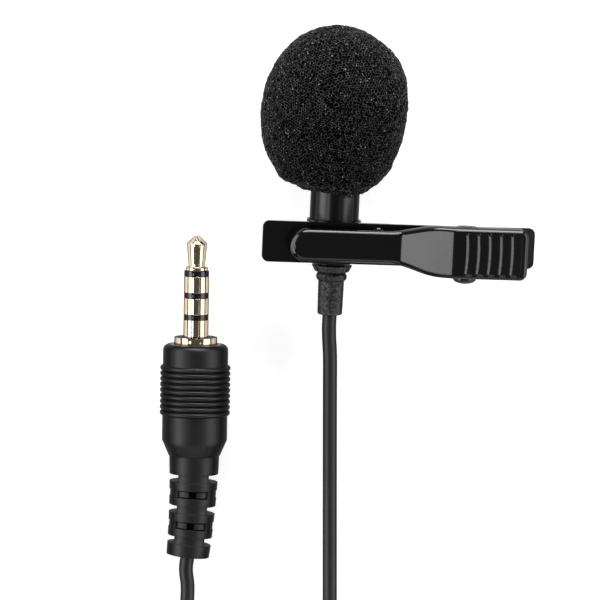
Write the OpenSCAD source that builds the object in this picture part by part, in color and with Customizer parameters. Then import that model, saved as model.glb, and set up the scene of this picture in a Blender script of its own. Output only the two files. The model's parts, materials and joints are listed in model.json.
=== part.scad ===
// Lavalier microphone with foam windscreen, tie clip, cord and four-pole plug.
// Lengths are in millimetres and angles in degrees. The part lies on the plane z = 0:
// the windscreen and the plug rest there, +Y runs towards the windscreen and +Z is up.

/* [Windscreen] */
// Diameter of the foam windscreen
windscreen_d = 20.3; // [18:0.1:24]
// Reach of the foam from its widest place to its crown
windscreen_crown = 11.7; // [10:0.1:14]
// Reach of the foam from its widest place to its flat mouth
windscreen_mouth = 11.6; // [10:0.1:13]
// Half length of the fuller curve that the mouth end follows
windscreen_belly = 13.3; // [13:0.1:16]
// Distance from the middle of the holder ring to the widest place
windscreen_mid = 18.4; // [17:0.1:21]
// How far the foam sits off the housing's axis
windscreen_offset = 0.5; // [0:0.1:1]
// Radius of the edge around the mouth
windscreen_rim = 1.2; // [0.5:0.1:2]
// Clearance between foam and housing, and ahead of the housing's front end
windscreen_clearance = 0.08; // [0.05:0.01:0.2]

/* [Housing] */
// Outside diameter of the capsule housing
housing_d = 6.85; // [6.4:0.05:8]
// Wall of the housing
housing_wall = 0.4; // [0.3:0.05:0.6]
// Reach of the housing ahead of the middle of the holder ring
housing_front = 16; // [14:0.1:18]
// Reach of the housing behind the edge of the holder ring
housing_tail = 0.3; // [0.2:0.05:1]
// Radius of the housing's outer edges
housing_round = 0.35; // [0.1:0.05:0.5]
// Thickness of the lip at the front end
front_lip = 0.4; // [0.3:0.05:0.8]
// Diameter of the opening in the front lip
front_opening_d = 4.8; // [3.5:0.1:5.2]
// Thickness of the rear cap
rear_cap_t = 1; // [0.6:0.1:1.5]
// How far the rear cap sits inside the housing's rear end
rear_cap_inset = 0.15; // [0.05:0.05:0.4]

/* [Capsule] */
// Gap all round between the capsule and the bore of the housing
capsule_clearance = 0.025; // [0.02:0.005:0.1]
// Thickness of the front grille
grille_t = 0.3; // [0.2:0.05:0.5]
// Diameter of the grille's holes
grille_hole_d = 0.5; // [0.3:0.05:0.6]
// Distance between the grille's holes
grille_pitch = 0.95; // [0.8:0.05:1.05]
// Thickness of the dust felt
felt_t = 0.35; // [0.2:0.05:0.6]
// Wall of the capsule can
can_wall = 0.2; // [0.15:0.01:0.3]
// Width of the lip rolled over the circuit board
can_lip = 0.35; // [0.2:0.05:0.5]
// Thickness of the rolled lip
can_lip_t = 0.25; // [0.15:0.05:0.4]
// Diameter of the sound holes in the capsule can
sound_hole_d = 0.8; // [0.4:0.1:1]
// Thickness of the diaphragm's ring
diaphragm_ring_t = 0.35; // [0.2:0.05:0.5]
// Width of the diaphragm's ring
diaphragm_ring_w = 0.5; // [0.3:0.05:0.8]
// Thickness of the diaphragm's film as modelled
diaphragm_film_t = 0.05; // [0.03:0.01:0.1]
// Thickness of the spacer ring
spacer_t = 0.1; // [0.05:0.01:0.2]
// Thickness of the back plate
backplate_t = 0.3; // [0.2:0.05:0.5]
// Diameter of the vent holes in the back plate
vent_d = 0.4; // [0.2:0.05:0.6]
// Height of the air chamber behind the back plate
chamber_h = 1; // [0.8:0.1:1.6]
// Wall of the insulating cup beside the chamber
cup_wall = 0.6; // [0.5:0.05:0.9]
// Thickness of the circuit board
board_t = 0.5; // [0.3:0.05:0.8]
// Thickness of the solder pads on the board
pad_solder_t = 0.12; // [0.08:0.01:0.18]
// Length, width and height of the field-effect transistor
transistor_size = [1.5, 1.2, 0.6];
// Length of the gasket behind the capsule
gasket_len = 0.8; // [0.4:0.1:1.5]
// Wall of the gasket
gasket_wall = 0.6; // [0.3:0.05:0.8]

/* [Strain relief at the microphone] */
// Diameter of the neck that passes through the rear cap
grommet_neck_d = 3.6; // [3.2:0.1:4.2]
// Diameter of the flange inside the housing
grommet_inner_d = 4.8; // [4.4:0.1:5.4]
// Thickness of the flange inside the housing
grommet_inner_t = 0.7; // [0.5:0.1:1]
// Gap between the housing and the outer flange
grommet_gap = 0.4; // [0.2:0.05:0.8]
// Diameter of the outer flange at its top
grommet_flange_d = 5.7; // [5:0.1:6.5]
// Diameter of the outer flange at its bottom
grommet_flange_low_d = 4.75; // [4.4:0.05:5]
// Height of the outer flange
grommet_flange_h = 0.9; // [0.5:0.1:1.5]
// Diameter of the bead under the flange
grommet_bead_d = 4.3; // [4:0.1:4.6]
// Height of the bead under the flange
grommet_bead_h = 1.4; // [1:0.1:2]
// Diameter of the sleeve at the bead
grommet_sleeve_d = 3.6; // [3.2:0.05:4]
// Diameter of the sleeve at its end
grommet_end_d = 3.46; // [3:0.02:3.6]
// Length of the sleeve
grommet_sleeve_len = 4.65; // [3:0.05:8]

/* [Holder ring] */
// Running clearance between housing and holder ring
ring_clearance = 0.05; // [0.02:0.01:0.1]
// Thickness of the holder ring's band
ring_wall = 0.3; // [0.25:0.05:0.5]
// Length of the tab that is riveted to the back jaw
ring_tab_len = 7.6; // [7:0.1:9]
// Width of the slit where the band ends
ring_slit = 0.4; // [0.2:0.1:0.8]
// Distance of the rivets from the housing's axis
rivet_x = 5.7; // [5.2:0.1:6.2]
// Distance between the two rivets
rivet_spacing = 3; // [2.4:0.1:3.4]
// Diameter of the rivets' shanks
rivet_d = 0.9; // [0.6:0.1:1.1]
// Diameter of the rivets' heads
rivet_head_d = 1.7; // [1.4:0.1:2]
// Height of the rivets' heads
rivet_head_h = 0.35; // [0.2:0.05:0.5]

/* [Back jaw] */
// Height of the back jaw and of the holder ring
back_jaw_h = 5.7; // [5.3:0.1:5.9]
// Thickness of the back jaw's sheet
back_jaw_t = 0.6; // [0.5:0.05:0.8]
// Reach of the back jaw to the left of the housing's axis
back_jaw_left = 10.3; // [9:0.1:13]
// Reach of the back jaw to the right of the housing's axis
back_jaw_right = 27.8; // [27:0.1:31]
// Radius of the back jaw's corners
back_jaw_corner = 0.9; // [0.5:0.1:1.5]
// Where the back jaw's tail bends away
tail_bend_x = 21; // [20:0.1:23]
// Angle at which the tail bends away
tail_flare = 7; // [0:0.5:10]

/* [Front jaw] */
// Distance from the back jaw's face to the outside of the front jaw's arm
jaw_gap = 4.3; // [3.8:0.1:5.5]
// Thickness of the front jaw's sheet
front_jaw_t = 0.5; // [0.4:0.05:0.6]
// Reach of the front jaw's tip to the left of the housing's axis
tip_left = 6.8; // [5.5:0.1:9]
// Height of the front jaw's arm
arm_h = 4.35; // [4:0.05:5]
// Depth of the arm's side walls
arm_wall_depth = 2.3; // [1.5:0.1:3]
// Length of the deeper wall that bites at the tip
bite_len = 2.5; // [2.3:0.1:4]
// Gap between the biting edge and the back jaw
bite_gap = 0.05; // [0.03:0.01:0.1]
// Depth of the teeth cut into the biting edge
tooth_depth = 0.5; // [0.2:0.05:1]
// Where the arm starts to rise towards the thumb pad
rise_x = 8.7; // [8:0.1:10]
// Where the front jaw reaches its full height
widen_x = 12.5; // [11.5:0.1:14]
// Where the rise ends at the thumb pad's face
pad_x = 15.3; // [14.5:0.1:16]
// Right end of the thumb pad
pad_right = 25.6; // [25.4:0.1:28]
// Height of the thumb pad
pad_h = 6.55; // [6.3:0.05:7.5]
// How far the thumb pad stands out from the arm
pad_rise = 2.9; // [2:0.1:3.5]
// Depth of the thumb pad's side walls
pad_wall_depth = 3.4; // [2.5:0.1:4]
// Radius of the corners at the front jaw's tip
tip_corner = 1.9; // [1.2:0.1:1.9]
// Radius of the edges round the front jaw's face
jaw_edge = 0.6; // [0.55:0.05:0.8]
// Radius of the thumb pad's corners
pad_corner = 1; // [0.9:0.1:1.6]
// Number of grip steps on the thumb pad
grip_count = 5; // [3:1:5]
// Distance between the grip steps
grip_pitch = 1.55; // [1.3:0.05:1.6]
// Height of the grip steps
grip_h = 0.22; // [0.1:0.02:0.4]
// Radius of the arc that each grip step follows
grip_arc = 25; // [15:1:60]

/* [Hinge] */
// Distance of the hinge pin from the housing's axis
pivot_x = 17.5; // [17:0.1:18.5]
// Height of the hinge pin's axis above the back jaw's face
pivot_rise = 3.4; // [3:0.1:3.8]
// Diameter of the hinge pin
hinge_pin_d = 1.5; // [1.2:0.1:1.8]
// Running clearance round the hinge pin
hinge_clearance = 0.03; // [0.02:0.01:0.08]
// Gap between the jaws' ears, and beside the pin's head
ear_gap = 0.08; // [0.05:0.01:0.15]
// Radius of the ears round the hinge pin
ear_r = 1.5; // [1.3:0.1:1.7]
// Diameter of the pin's domed head
pin_head_d = 3.2; // [2.6:0.1:3.6]
// Height of the pin's domed head
pin_head_h = 0.95; // [0.5:0.05:1.2]
// Diameter of the torsion spring's wire
spring_wire = 0.45; // [0.35:0.05:0.5]
// Turns of the torsion spring, always with a half turn
spring_turns = 3.5; // [1.5:1:3.5]
// Distance between the spring's turns
spring_pitch = 0.94; // [0.92:0.01:1]
// Length of the torsion spring's legs
spring_leg = 5; // [3.5:0.1:6]

/* [Plug pin] */
// Diameter of the plug pin's sleeve
plug_pin_d = 3.5; // [3.4:0.01:3.6]
// Length of the sleeve contact
sleeve_len = 2.4; // [2:0.1:3]
// Length of each ring contact
ring_len = 2.25; // [1.8:0.05:2.6]
// Length of each insulating ring
insulator_len = 0.8; // [0.5:0.05:1]
// Length of the collar behind the tip
collar_len = 0.5; // [0.3:0.05:0.8]
// Diameter of the collar behind the tip
collar_d = 3.1; // [2.8:0.05:3.4]
// Length of the tip from its neck to its widest place
tip_len = 3.3; // [2.8:0.05:3.8]
// Diameter of the tip's neck
tip_neck_d = 2.25; // [2:0.05:2.4]
// Diameter of the tip at its widest place
tip_max_d = 2.85; // [2.5:0.05:3.1]
// Length of the cone at the end of the tip
tip_cone_len = 1.05; // [0.8:0.05:1.4]
// Diameter of the blunt end of the cone
tip_end_d = 0.65; // [0.4:0.05:1]
// Diameter of the tip's rod inside the plug
rod_d = 0.9; // [0.8:0.05:1]
// Wall of each tube on the rod, metal or insulation in turn
tube_wall = 0.2; // [0.15:0.01:0.22]
// Diameter of the flange
flange_d = 6; // [5.4:0.1:6.6]
// Thickness of the flange
flange_t = 1; // [0.6:0.1:1.4]
// Length of the boss behind the flange
boss_len = 1.2; // [0.8:0.1:2]
// Wall of the boss behind the flange
boss_wall = 0.5; // [0.4:0.05:0.7]

/* [Plug grip] */
// Diameter of the plug's grip between its ribs
grip_d = 9.1; // [8.6:0.1:10.5]
// Radius of the grip's shoulder
grip_shoulder = 0.8; // [0.4:0.1:0.9]
// Distance from the flange's underside to the first rib
first_rib = 3.3; // [2.5:0.1:5]
// Number of ribs
rib_count = 9; // [5:1:9]
// Distance between ribs
rib_pitch = 0.785; // [0.74:0.005:0.9]
// Radius of the ribs' round backs
rib_r = 0.36; // [0.25:0.01:0.4]
// Length of the grip behind its flange
grip_len = 13.4; // [12.9:0.1:16]
// Length of the cone behind the grip
grip_cone = 2.2; // [1.5:0.1:3]
// Wall of the grip over the inner mould
grip_wall = 0.95; // [0.8:0.05:1.1]
// Length of the inner mould
mould_len = 11.5; // [11:0.1:12.3]
// Wall of the inner mould
mould_wall = 0.9; // [0.6:0.05:1]

/* [Strain relief at the plug] */
// Diameter of the strain relief at the grip
relief_d = 7; // [6.4:0.1:7.6]
// Diameter of the strain relief at its end
relief_end_d = 6; // [5.2:0.1:6.2]
// Length of the strain relief along its curve
relief_len = 14.15; // [13.8:0.05:16]
// Angle through which the strain relief bends
relief_bend = 6; // [2:0.5:10]
// Number of slots along the strain relief
slot_count = 5; // [3:1:5]
// Distance between the slots
slot_pitch = 2.2; // [1.9:0.05:2.4]
// Height of the slots
slot_h = 1.05; // [0.8:0.05:1.2]
// Distance from the grip's cone to the first slot
first_slot = 3.1; // [2.4:0.1:3.5]
// Width of the web between the side slots, and of the front and back slots
web_w = 4.2; // [3.6:0.1:4.6]
// Diameter of the core left standing in the front and back slots
core_d = 2.8; // [2.5:0.1:3.2]

/* [Cord] */
// Diameter of the cord
cord_d = 2; // [1.8:0.05:2.2]
// Clearance round the cord inside its strain reliefs
cord_clearance = 0.02; // [0.01:0.01:0.05]
// Diameter of the conductors
conductor_d = 0.4; // [0.3:0.05:0.5]
// Distance between neighbouring turns and layers of the coil
coil_pitch = 2.45; // [2.45:0.05:2.8]
// Radius of the coil at its outermost turn
coil_r = 17.7; // [16:0.1:22]
// Turns of the coil, before the part turn that lines it up with the leads
coil_turns = 18; // [14:1:18]
// Angle on the coil at which the leads leave it
coil_entry = 36; // [30:1:40]

/* [Placing] */
// Angle at which the housing rises towards the windscreen
mic_tilt = 7.5; // [5:0.5:9]
// Angle by which the housing is turned from the Y axis
mic_turn = 2.6; // [0:0.1:5]
// Angle by which the clip is rolled round the housing
clip_roll = 6.5; // [0:0.5:12]
// Angle by which the plug is turned from the Y axis
plug_turn = 0.9; // [0:0.1:3]
// Place of the plug's flange
plug_place = [-28.2, -23.2];
// Centre of the stored coil
coil_centre = [-19.4, -90];

/* [Hidden] */
$fn = 64;

// Colours
foam_black = "#1c1c1d";
satin_black = "#2b2b2d";
gloss_black = "#1a1a1b";
rubber_black = "#303032";
plated = "#d8cda8";
steel = "#b9bcc0";
board_green = "#2f6b45";

// Small fixed sizes
cut = 1;
sink = 0.1;
arc_steps = 5;
tip_steps = 7;
edge_steps = 4;
curve_steps = 14;

// Places along the housing, from the middle of the holder ring towards the windscreen
ring_half = back_jaw_h / 2;
housing_rear = ring_half + housing_tail;
housing_bore_r = housing_d / 2 - housing_wall;
lip_back = housing_front - front_lip;
grille_back = lip_back - grille_t;
can_front = grille_back - felt_t;
can_inner_front = can_front - can_wall;
diaphragm_back = can_inner_front - diaphragm_ring_t;
spacer_back = diaphragm_back - spacer_t;
backplate_back = spacer_back - backplate_t;
board_front = backplate_back - chamber_h;
board_back = board_front - board_t;
can_back = board_back - can_lip_t;
gasket_back = can_back - gasket_len;
can_r = housing_bore_r - capsule_clearance;
stack_r = can_r - can_wall - capsule_clearance;
backplate_r = stack_r - 0.35;
cap_back = -housing_rear + rear_cap_inset;
cap_front = cap_back + rear_cap_t;
grommet_inner_front = cap_front + grommet_inner_t;
cable_front = grommet_inner_front + 0.5;
grommet_top = -housing_rear - grommet_gap;
bead_top = grommet_top - grommet_flange_h;
bead_bottom = bead_top - grommet_bead_h;
grommet_end = bead_bottom - grommet_sleeve_len;
cord_r = cord_d / 2;
cord_bore_r = cord_r + cord_clearance;
windscreen_r = windscreen_d / 2;
windscreen_bore_r = housing_d / 2 + windscreen_clearance;

conductor_spread_front = 1.2;
conductor_spread_rear = 0.5;

// Places in the clip: x from the housing's axis, y along it and z towards the front jaw
ring_in_r = housing_d / 2 + ring_clearance;
ring_out_r = ring_in_r + ring_wall;
back_face = ring_out_r + back_jaw_t;
arm_face = back_face + jaw_gap;
pad_face = arm_face + pad_rise;
pivot_z = back_face + pivot_rise;
pad_half = pad_h / 2;
arm_half = arm_h / 2;
pin_r = hinge_pin_d / 2;
ear_out = pad_half - front_jaw_t - ear_gap;
ear_in = ear_out - back_jaw_t;
spring_r = pin_r + 0.12 + spring_wire / 2;

// Places along the plug, from its flange towards its tip
pin_r_plug = plug_pin_d / 2;
ring_2_back = sleeve_len + insulator_len;
ring_2_front = ring_2_back + ring_len;
ring_1_back = ring_2_front + insulator_len;
ring_1_front = ring_1_back + ring_len;
collar_back = ring_1_front + insulator_len;
collar_front = collar_back + collar_len;
tip_widest = collar_front + tip_len;
tip_end = tip_widest + tip_cone_len;
rod_r = rod_d / 2;
grip_top = -flange_t;
grip_r = grip_d / 2;
grip_end = grip_top - grip_len;
relief_start = grip_end - grip_cone;
last_rib = grip_top - first_rib - rib_pitch * (rib_count - 1);
mould_r = grip_r - grip_wall;
mould_bore_r = mould_r - mould_wall;
mould_end = grip_top - mould_len;
mould_floor = mould_end + 1;
relief_radius = relief_len * 180 / (PI * relief_bend);
rod_back = mould_floor + 2.5;
ring_1_stem_back = rod_back + 2;
ring_2_stem_back = ring_1_stem_back + 2;
sleeve_lug_back = rod_back + 1.2;
plug_cable_front = mould_floor + 0.6;

// Turning points from the parts' own frames to the part's frame
function turn_z(p, a) = [p[0] * cos(a) - p[1] * sin(a), p[0] * sin(a) + p[1] * cos(a), p[2]];
function tilt_x(p, a) = [p[0], p[1] * cos(a) - p[2] * sin(a), p[1] * sin(a) + p[2] * cos(a)];
function roll_y(p, a) = [p[0] * cos(a) + p[2] * sin(a), p[1], p[2] * cos(a) - p[0] * sin(a)];
function head_turned(p) = turn_z(tilt_x(p, mic_tilt), -mic_turn);
function clip_turned(p) = head_turned(roll_y(p, clip_roll));
function reach(long, across, along) = sqrt(pow(long * along, 2) + pow(across, 2) * (1 - along * along));

// The origin lies under the middle of windscreen, housing and clip together
head_axis = head_turned([0, 1, 0]);
windscreen_centre = head_turned([windscreen_offset * -1, windscreen_mid, 0]);
jaw_corner_y = ring_half - back_jaw_corner;
tail_drop = (back_jaw_right - tail_bend_x) * sin(tail_flare);
jaw_left_end = clip_turned([back_jaw_corner - back_jaw_left, -jaw_corner_y, ring_out_r]);
jaw_right_end = clip_turned([back_jaw_right - back_jaw_corner, jaw_corner_y, back_face - tail_drop]);
low_x = min(jaw_left_end[0] - back_jaw_corner,
            windscreen_centre[0] - reach(windscreen_crown, windscreen_r, head_axis[0]));
high_x = jaw_right_end[0] + back_jaw_corner;
low_y = grommet_end * head_axis[1] - reach(0, grommet_end_d / 2, head_axis[1]);
high_y = windscreen_centre[1] + reach(windscreen_crown, windscreen_r, head_axis[1]);
rest_z = reach(windscreen_belly, windscreen_r, head_axis[2]);
head_place = [-(low_x + high_x) / 2, -(low_y + high_y) / 2, rest_z - windscreen_mid * head_axis[2]];

// The plug rests on its last rib and on the end of its strain relief
plug_lie_r = grip_r + rib_r;
relief_end_r = relief_end_d / 2;
plug_tilt = atan((plug_lie_r - relief_end_r) / (last_rib - relief_start + relief_len));
plug_origin = [plug_place[0], plug_place[1], plug_lie_r * cos(plug_tilt) - last_rib * sin(plug_tilt)];
function plug_turned(p) = turn_z(tilt_x(p, plug_tilt), -plug_turn);
relief_end_x = -relief_radius * (1 - cos(relief_bend));
relief_end_y = relief_start - relief_radius * sin(relief_bend);
plug_cord_start = plug_origin + plug_turned([relief_end_x, relief_end_y, 0]);
plug_cord_way = plug_turned([-sin(relief_bend), -cos(relief_bend), 0]);
mic_cord_start = head_place + grommet_end * head_axis;

// Coil: it starts on the bottom layer at coil_entry, winds clockwise seen from above and leaves
// from the top layer at the mirrored angle
coil_layers = 4;
coil_steps = 24;
coil_whole = coil_turns + 1 - (180 - 2 * coil_entry) / 360;
coil_leg = coil_whole / coil_layers;
coil_in_r = coil_r - coil_pitch * coil_leg;
function smooth(s) = s <= 0 ? 0 : s >= 1 ? 1 : s * s * (3 - 2 * s);
function coil_swing(t) = abs(t / coil_leg - 2 * floor(t / coil_leg / 2 + 0.5));
function coil_rise(t) = smooth(2 * (t - coil_leg) + 0.5)
    + smooth(2 * (t - 2 * coil_leg) + 0.5) + smooth(2 * (t - 3 * coil_leg) + 0.5);
function coil_point(t) =
    let (a = coil_entry - 360 * t, r = coil_r - (coil_r - coil_in_r) * coil_swing(t))
    [coil_centre[0] + r * cos(a), coil_centre[1] + r * sin(a), cord_r + coil_pitch * coil_rise(t)];
coil_way_in = [sin(coil_entry), -cos(coil_entry), 0];
coil_way_out = [sin(coil_entry), cos(coil_entry), 0];
coil_start = coil_point(0) - cord_d * coil_way_in;
coil_end = coil_point(coil_whole) + cord_d * coil_way_out;
coil_count = round(coil_whole * coil_steps);
coil_path = concat([coil_start], [for (i = [0:coil_count]) coil_point(i * coil_whole / coil_count)],
                   [coil_end]);

// Cord routes, from the strain reliefs to the coil
mic_lead_points = [
    [-9.5, -26, 5.5], [-9.5, -30, 4.8], [-9.5, -34, 3.9], [-9.5, -38, 3], [-9.5, -42, 2.2],
    [-9.5, -46, 1.6], [-9.5, -50, 1.2], [-9.5, -55, 1], [-9.5, -60, 1], [-9.5, -65, 1],
    [-9.5, -68, 1], [-9.5, -70, 1], [-9.3, -72.3, 1], [-8.6, -74.4, 1]
];
plug_lead_points = [
    [-29.6, -58, 2.7], [-29.6, -60.5, 2.8], [-29.5, -63, 3.3], [-29.4, -65.5, 4.2],
    [-29.3, -68, 5.4], [-29.3, -70.3, 6.7], [-29.5, -72.3, 7.6], [-30.2, -74.4, 8.2]
];
mic_lead_path = concat([mic_cord_start, mic_cord_start - cord_d * head_axis], mic_lead_points,
                       [coil_start - cord_d * coil_way_in, coil_start]);
plug_lead_path = concat([plug_cord_start, plug_cord_start + cord_d * plug_cord_way],
                        plug_lead_points, [coil_end + cord_d * coil_way_out, coil_end]);
cord_sides = 8;
wound_sides = 6;

// Torsion spring: a leg under the thumb pad, the turns, and a leg on the back jaw
spring_steps = 12;
spring_span = spring_turns * spring_pitch;
spring_low = back_face + spring_wire / 2 + 0.03;
spring_high = pad_face - front_jaw_t - spring_wire / 2 - 0.03;
spring_count = round(spring_turns * spring_steps);
function spring_point(i) =
    let (t = i / spring_count, a = 90 + 360 * spring_turns * t)
    [pivot_x + spring_r * cos(a), spring_span * (0.5 - t), pivot_z + spring_r * sin(a)];
spring_path = concat(
    [[pivot_x + spring_leg, spring_span / 2, spring_high],
     [pivot_x + spring_leg - 2 * spring_wire, spring_span / 2, spring_high]],
    [for (i = [0:spring_count]) spring_point(i)],
    [[pivot_x + spring_leg - 2 * spring_wire, -spring_span / 2, spring_low],
     [pivot_x + spring_leg, -spring_span / 2, spring_low]]);

// Least distance between parts of a tube that lie some rings apart, less its diameter
function least_gap(path, d, apart) =
    min([for (i = [0:2:len(path) - 1 - apart]) for (j = [i + apart:1:len(path) - 1])
         norm(path[i] - path[j])]) - d;
echo(coil_least_gap = least_gap(coil_path, cord_d, coil_steps / 2));  // cord_coil
echo(spring_least_gap = least_gap(spring_path, spring_wire, spring_steps / 2));  // torsion_spring
union() {
    echo(head_place = head_place, head_axis = head_axis);
    echo(pivot_place = head_place + clip_turned([pivot_x, 0, pivot_z]));
    echo(plug_place = plug_origin, plug_axis = plug_turned([0, 1, 0]));
    echo(bite_place = head_place + clip_turned([bite_len / 2 - tip_left, 0, back_face]));
}

// Points of an arc in a profile
function arc(centre, r, from, to, steps = arc_steps) =
    [for (i = [0:steps]) let (a = from + (to - from) * i / steps)
     [centre[0] + r * cos(a), centre[1] + r * sin(a)]];

// A tube swept along a path, with triangle faces; ref is never along the path
module swept_tube(path, r, sides, ref) {
    last = len(path) - 1;
    function way(i) = let (d = path[min(i + 1, last)] - path[max(i - 1, 0)]) d / norm(d);
    function aside(i) = let (c = cross(way(i), ref)) c / norm(c);
    function at(i, k) =
        path[i] + r * (cos(360 * k / sides) * aside(i) + sin(360 * k / sides) * cross(aside(i), way(i)));
    function id(i, k) = i * sides + k % sides;
    polyhedron(
        points = [for (i = [0:last]) for (k = [0:sides - 1]) at(i, k)],
        faces = concat(
            [for (k = [1:sides - 2]) [id(0, 0), id(0, k + 1), id(0, k)]],
            [for (i = [0:last - 1]) for (k = [0:sides - 1]) [id(i, k), id(i, k + 1), id(i + 1, k + 1)]],
            [for (i = [0:last - 1]) for (k = [0:sides - 1]) [id(i, k), id(i + 1, k + 1), id(i + 1, k)]],
            [for (k = [1:sides - 2]) [id(last, 0), id(last, k), id(last, k + 1)]]),
        convexity = 10);
}

// A straight round rod between two points
module rod(from, to, r) {
    d = to - from;
    translate(from)
        rotate([0, acos(d[2] / norm(d)), atan2(d[1], d[0])])
            cylinder(r = r, h = norm(d));
}

// A tube between two heights
module ring(from, to, outer, inner) {
    translate([0, 0, from])
        difference() {
            cylinder(r = outer, h = to - from);
            translate([0, 0, -cut]) cylinder(r = inner, h = to - from + 2 * cut);
        }
}

// Frame of the head: its Z axis runs along the housing towards the windscreen
module on_head() {
    translate(head_place) rotate([mic_tilt, 0, -mic_turn]) rotate([-90, 0, 0]) children();
}

// Frame of the clip: Y along the housing, Z towards the front jaw
module on_clip() {
    translate(head_place) rotate([mic_tilt, 0, -mic_turn]) rotate([0, clip_roll, 0]) children();
}

// Frame of the plug: its Z axis runs from the flange to the tip
module on_plug() {
    translate(plug_origin) rotate([plug_tilt, 0, -plug_turn]) rotate([-90, 0, 0]) children();
}

// Frame of the strain relief at a distance along its curve, with -Z running on along it
module on_relief(along) {
    a = relief_bend * along / relief_len;
    translate([-relief_radius * (1 - cos(a)), 0, relief_start - relief_radius * sin(a)])
        rotate([0, a, 0]) children();
}

// A flat shape in the clip's XZ plane, given thickness from low to high along Y
module upright(low, high) {
    translate([0, high, 0]) rotate([90, 0, 0]) linear_extrude(high - low) children();
}

// Foam windscreen, egg-shaped, with the hole that grips the housing
module windscreen() {
    // The rim's arc starts where the belly's curve reaches it
    rim_angle = asin((windscreen_mouth - windscreen_rim) / windscreen_belly);
    mouth_r = windscreen_r * cos(rim_angle);
    crown = [for (i = [0:curve_steps]) let (a = 90 - 90 * i / curve_steps)
             [windscreen_r * cos(a), windscreen_crown * sin(a)]];
    belly = [for (i = [1:curve_steps]) let (a = rim_angle * i / curve_steps)
             [windscreen_r * cos(a), -windscreen_belly * sin(a)]];
    rim = arc([mouth_r - windscreen_rim, windscreen_rim - windscreen_mouth], windscreen_rim, 0, -90);
    color(foam_black) on_head() difference() {
        translate([-windscreen_offset, 0, windscreen_mid])
            rotate_extrude() polygon(concat(crown, belly, rim, [[0, -windscreen_mouth]]));
        translate([0, 0, windscreen_mid - windscreen_mouth - cut])
            cylinder(r = windscreen_bore_r,
                     h = housing_front + windscreen_clearance - windscreen_mid + windscreen_mouth + cut);
    }
}

// Turned tube with rounded ends and a lip at the front
module capsule_housing() {
    r = housing_d / 2;
    e = housing_round;
    color(satin_black) on_head() difference() {
        rotate_extrude()
            polygon(concat([[0, -housing_rear]], arc([r - e, e - housing_rear], e, -90, 0),
                           arc([r - e, housing_front - e], e, 0, 90), [[0, housing_front]]));
        translate([0, 0, -housing_rear - cut])
            cylinder(r = housing_bore_r, h = housing_rear + lip_back + cut);
        cylinder(d = front_opening_d, h = housing_front + cut);
    }
}

// Perforated disc behind the front lip: a centre hole and two rings of holes
module front_grille() {
    color(steel) on_head() translate([0, 0, grille_back]) difference() {
        cylinder(r = can_r, h = grille_t);
        for (row = [1:2]) for (i = [0:6 * row - 1])
            rotate([0, 0, 60 * i / row]) translate([row * grille_pitch, 0, -cut])
                cylinder(d = grille_hole_d, h = grille_t + 2 * cut);
        translate([0, 0, -cut]) cylinder(d = grille_hole_d, h = grille_t + 2 * cut);
    }
}

module dust_felt() {
    color(foam_black) on_head() translate([0, 0, can_front]) cylinder(r = can_r, h = felt_t);
}

// Drawn can with sound holes in its face and a lip rolled over the board
module capsule_can() {
    hole_circle = can_r / 2;
    color(steel) on_head() difference() {
        translate([0, 0, can_back]) cylinder(r = can_r, h = can_front - can_back);
        translate([0, 0, board_back])
            cylinder(r = can_r - can_wall, h = can_inner_front - board_back);
        translate([0, 0, can_back - cut]) cylinder(r = can_r - can_lip, h = can_lip_t + 2 * cut);
        for (i = [0:2]) rotate([0, 0, 120 * i])
            translate([hole_circle, 0, can_inner_front - cut])
                cylinder(d = sound_hole_d, h = can_wall + 2 * cut);
    }
}

// Film stretched on its ring
module diaphragm() {
    color("#d9d2b0") on_head() {
        ring(diaphragm_back, can_inner_front, stack_r, stack_r - diaphragm_ring_w);
        translate([0, 0, diaphragm_back])
            cylinder(r = stack_r - diaphragm_ring_w + sink, h = diaphragm_film_t);
    }
}

module spacer_ring() {
    color("#e8e8e4") on_head() ring(spacer_back, diaphragm_back, stack_r, backplate_r);
}

// Perforated electrode behind the diaphragm
module backplate() {
    vent_circle = backplate_r / 2;
    color(plated) on_head() translate([0, 0, backplate_back]) difference() {
        cylinder(r = backplate_r - capsule_clearance, h = backplate_t);
        for (i = [0:3]) rotate([0, 0, 90 * i])
            translate([vent_circle, 0, -cut]) cylinder(d = vent_d, h = backplate_t + 2 * cut);
    }
}

// Plastic cup that carries the back plate clear of the can
module insulating_cup() {
    color("#e8e8e4") on_head() {
        ring(backplate_back - sink, spacer_back, stack_r, backplate_r);
        ring(board_front, backplate_back, stack_r, stack_r - cup_wall);
    }
}

module transistor() {
    size = transistor_size;
    color("#111111") on_head()
        translate([-size[0] / 2, -size[1] / 2, board_front]) cube(size);
}

// Board with the two solder pads that the conductors meet
module circuit_board() {
    color(board_green) on_head() {
        translate([0, 0, board_back]) cylinder(r = stack_r, h = board_t);
        for (side = [-1, 1])
            translate([side * conductor_spread_front, 0, board_back - pad_solder_t])
                cylinder(r = conductor_d, h = pad_solder_t + sink);
    }
}

module capsule_gasket() {
    color(rubber_black) on_head() ring(gasket_back, can_back, can_r, can_r - gasket_wall);
}

module rear_cap() {
    color(satin_black) on_head()
        ring(cap_back, cap_front, can_r, grommet_neck_d / 2 + capsule_clearance);
}

// Two insulated conductors between the cable and the board
module mic_conductors() {
    color("#a33b32") on_head()
        for (side = [-1, 1])
            rod([side * conductor_spread_rear, 0, cable_front],
                [side * conductor_spread_front, 0, board_back - pad_solder_t], conductor_d / 2);
}

// The cord's own end, through the strain relief into the housing
module mic_cable_end() {
    color(rubber_black) on_head()
        translate([0, 0, grommet_end]) cylinder(r = cord_r, h = cable_front - grommet_end);
}

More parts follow.
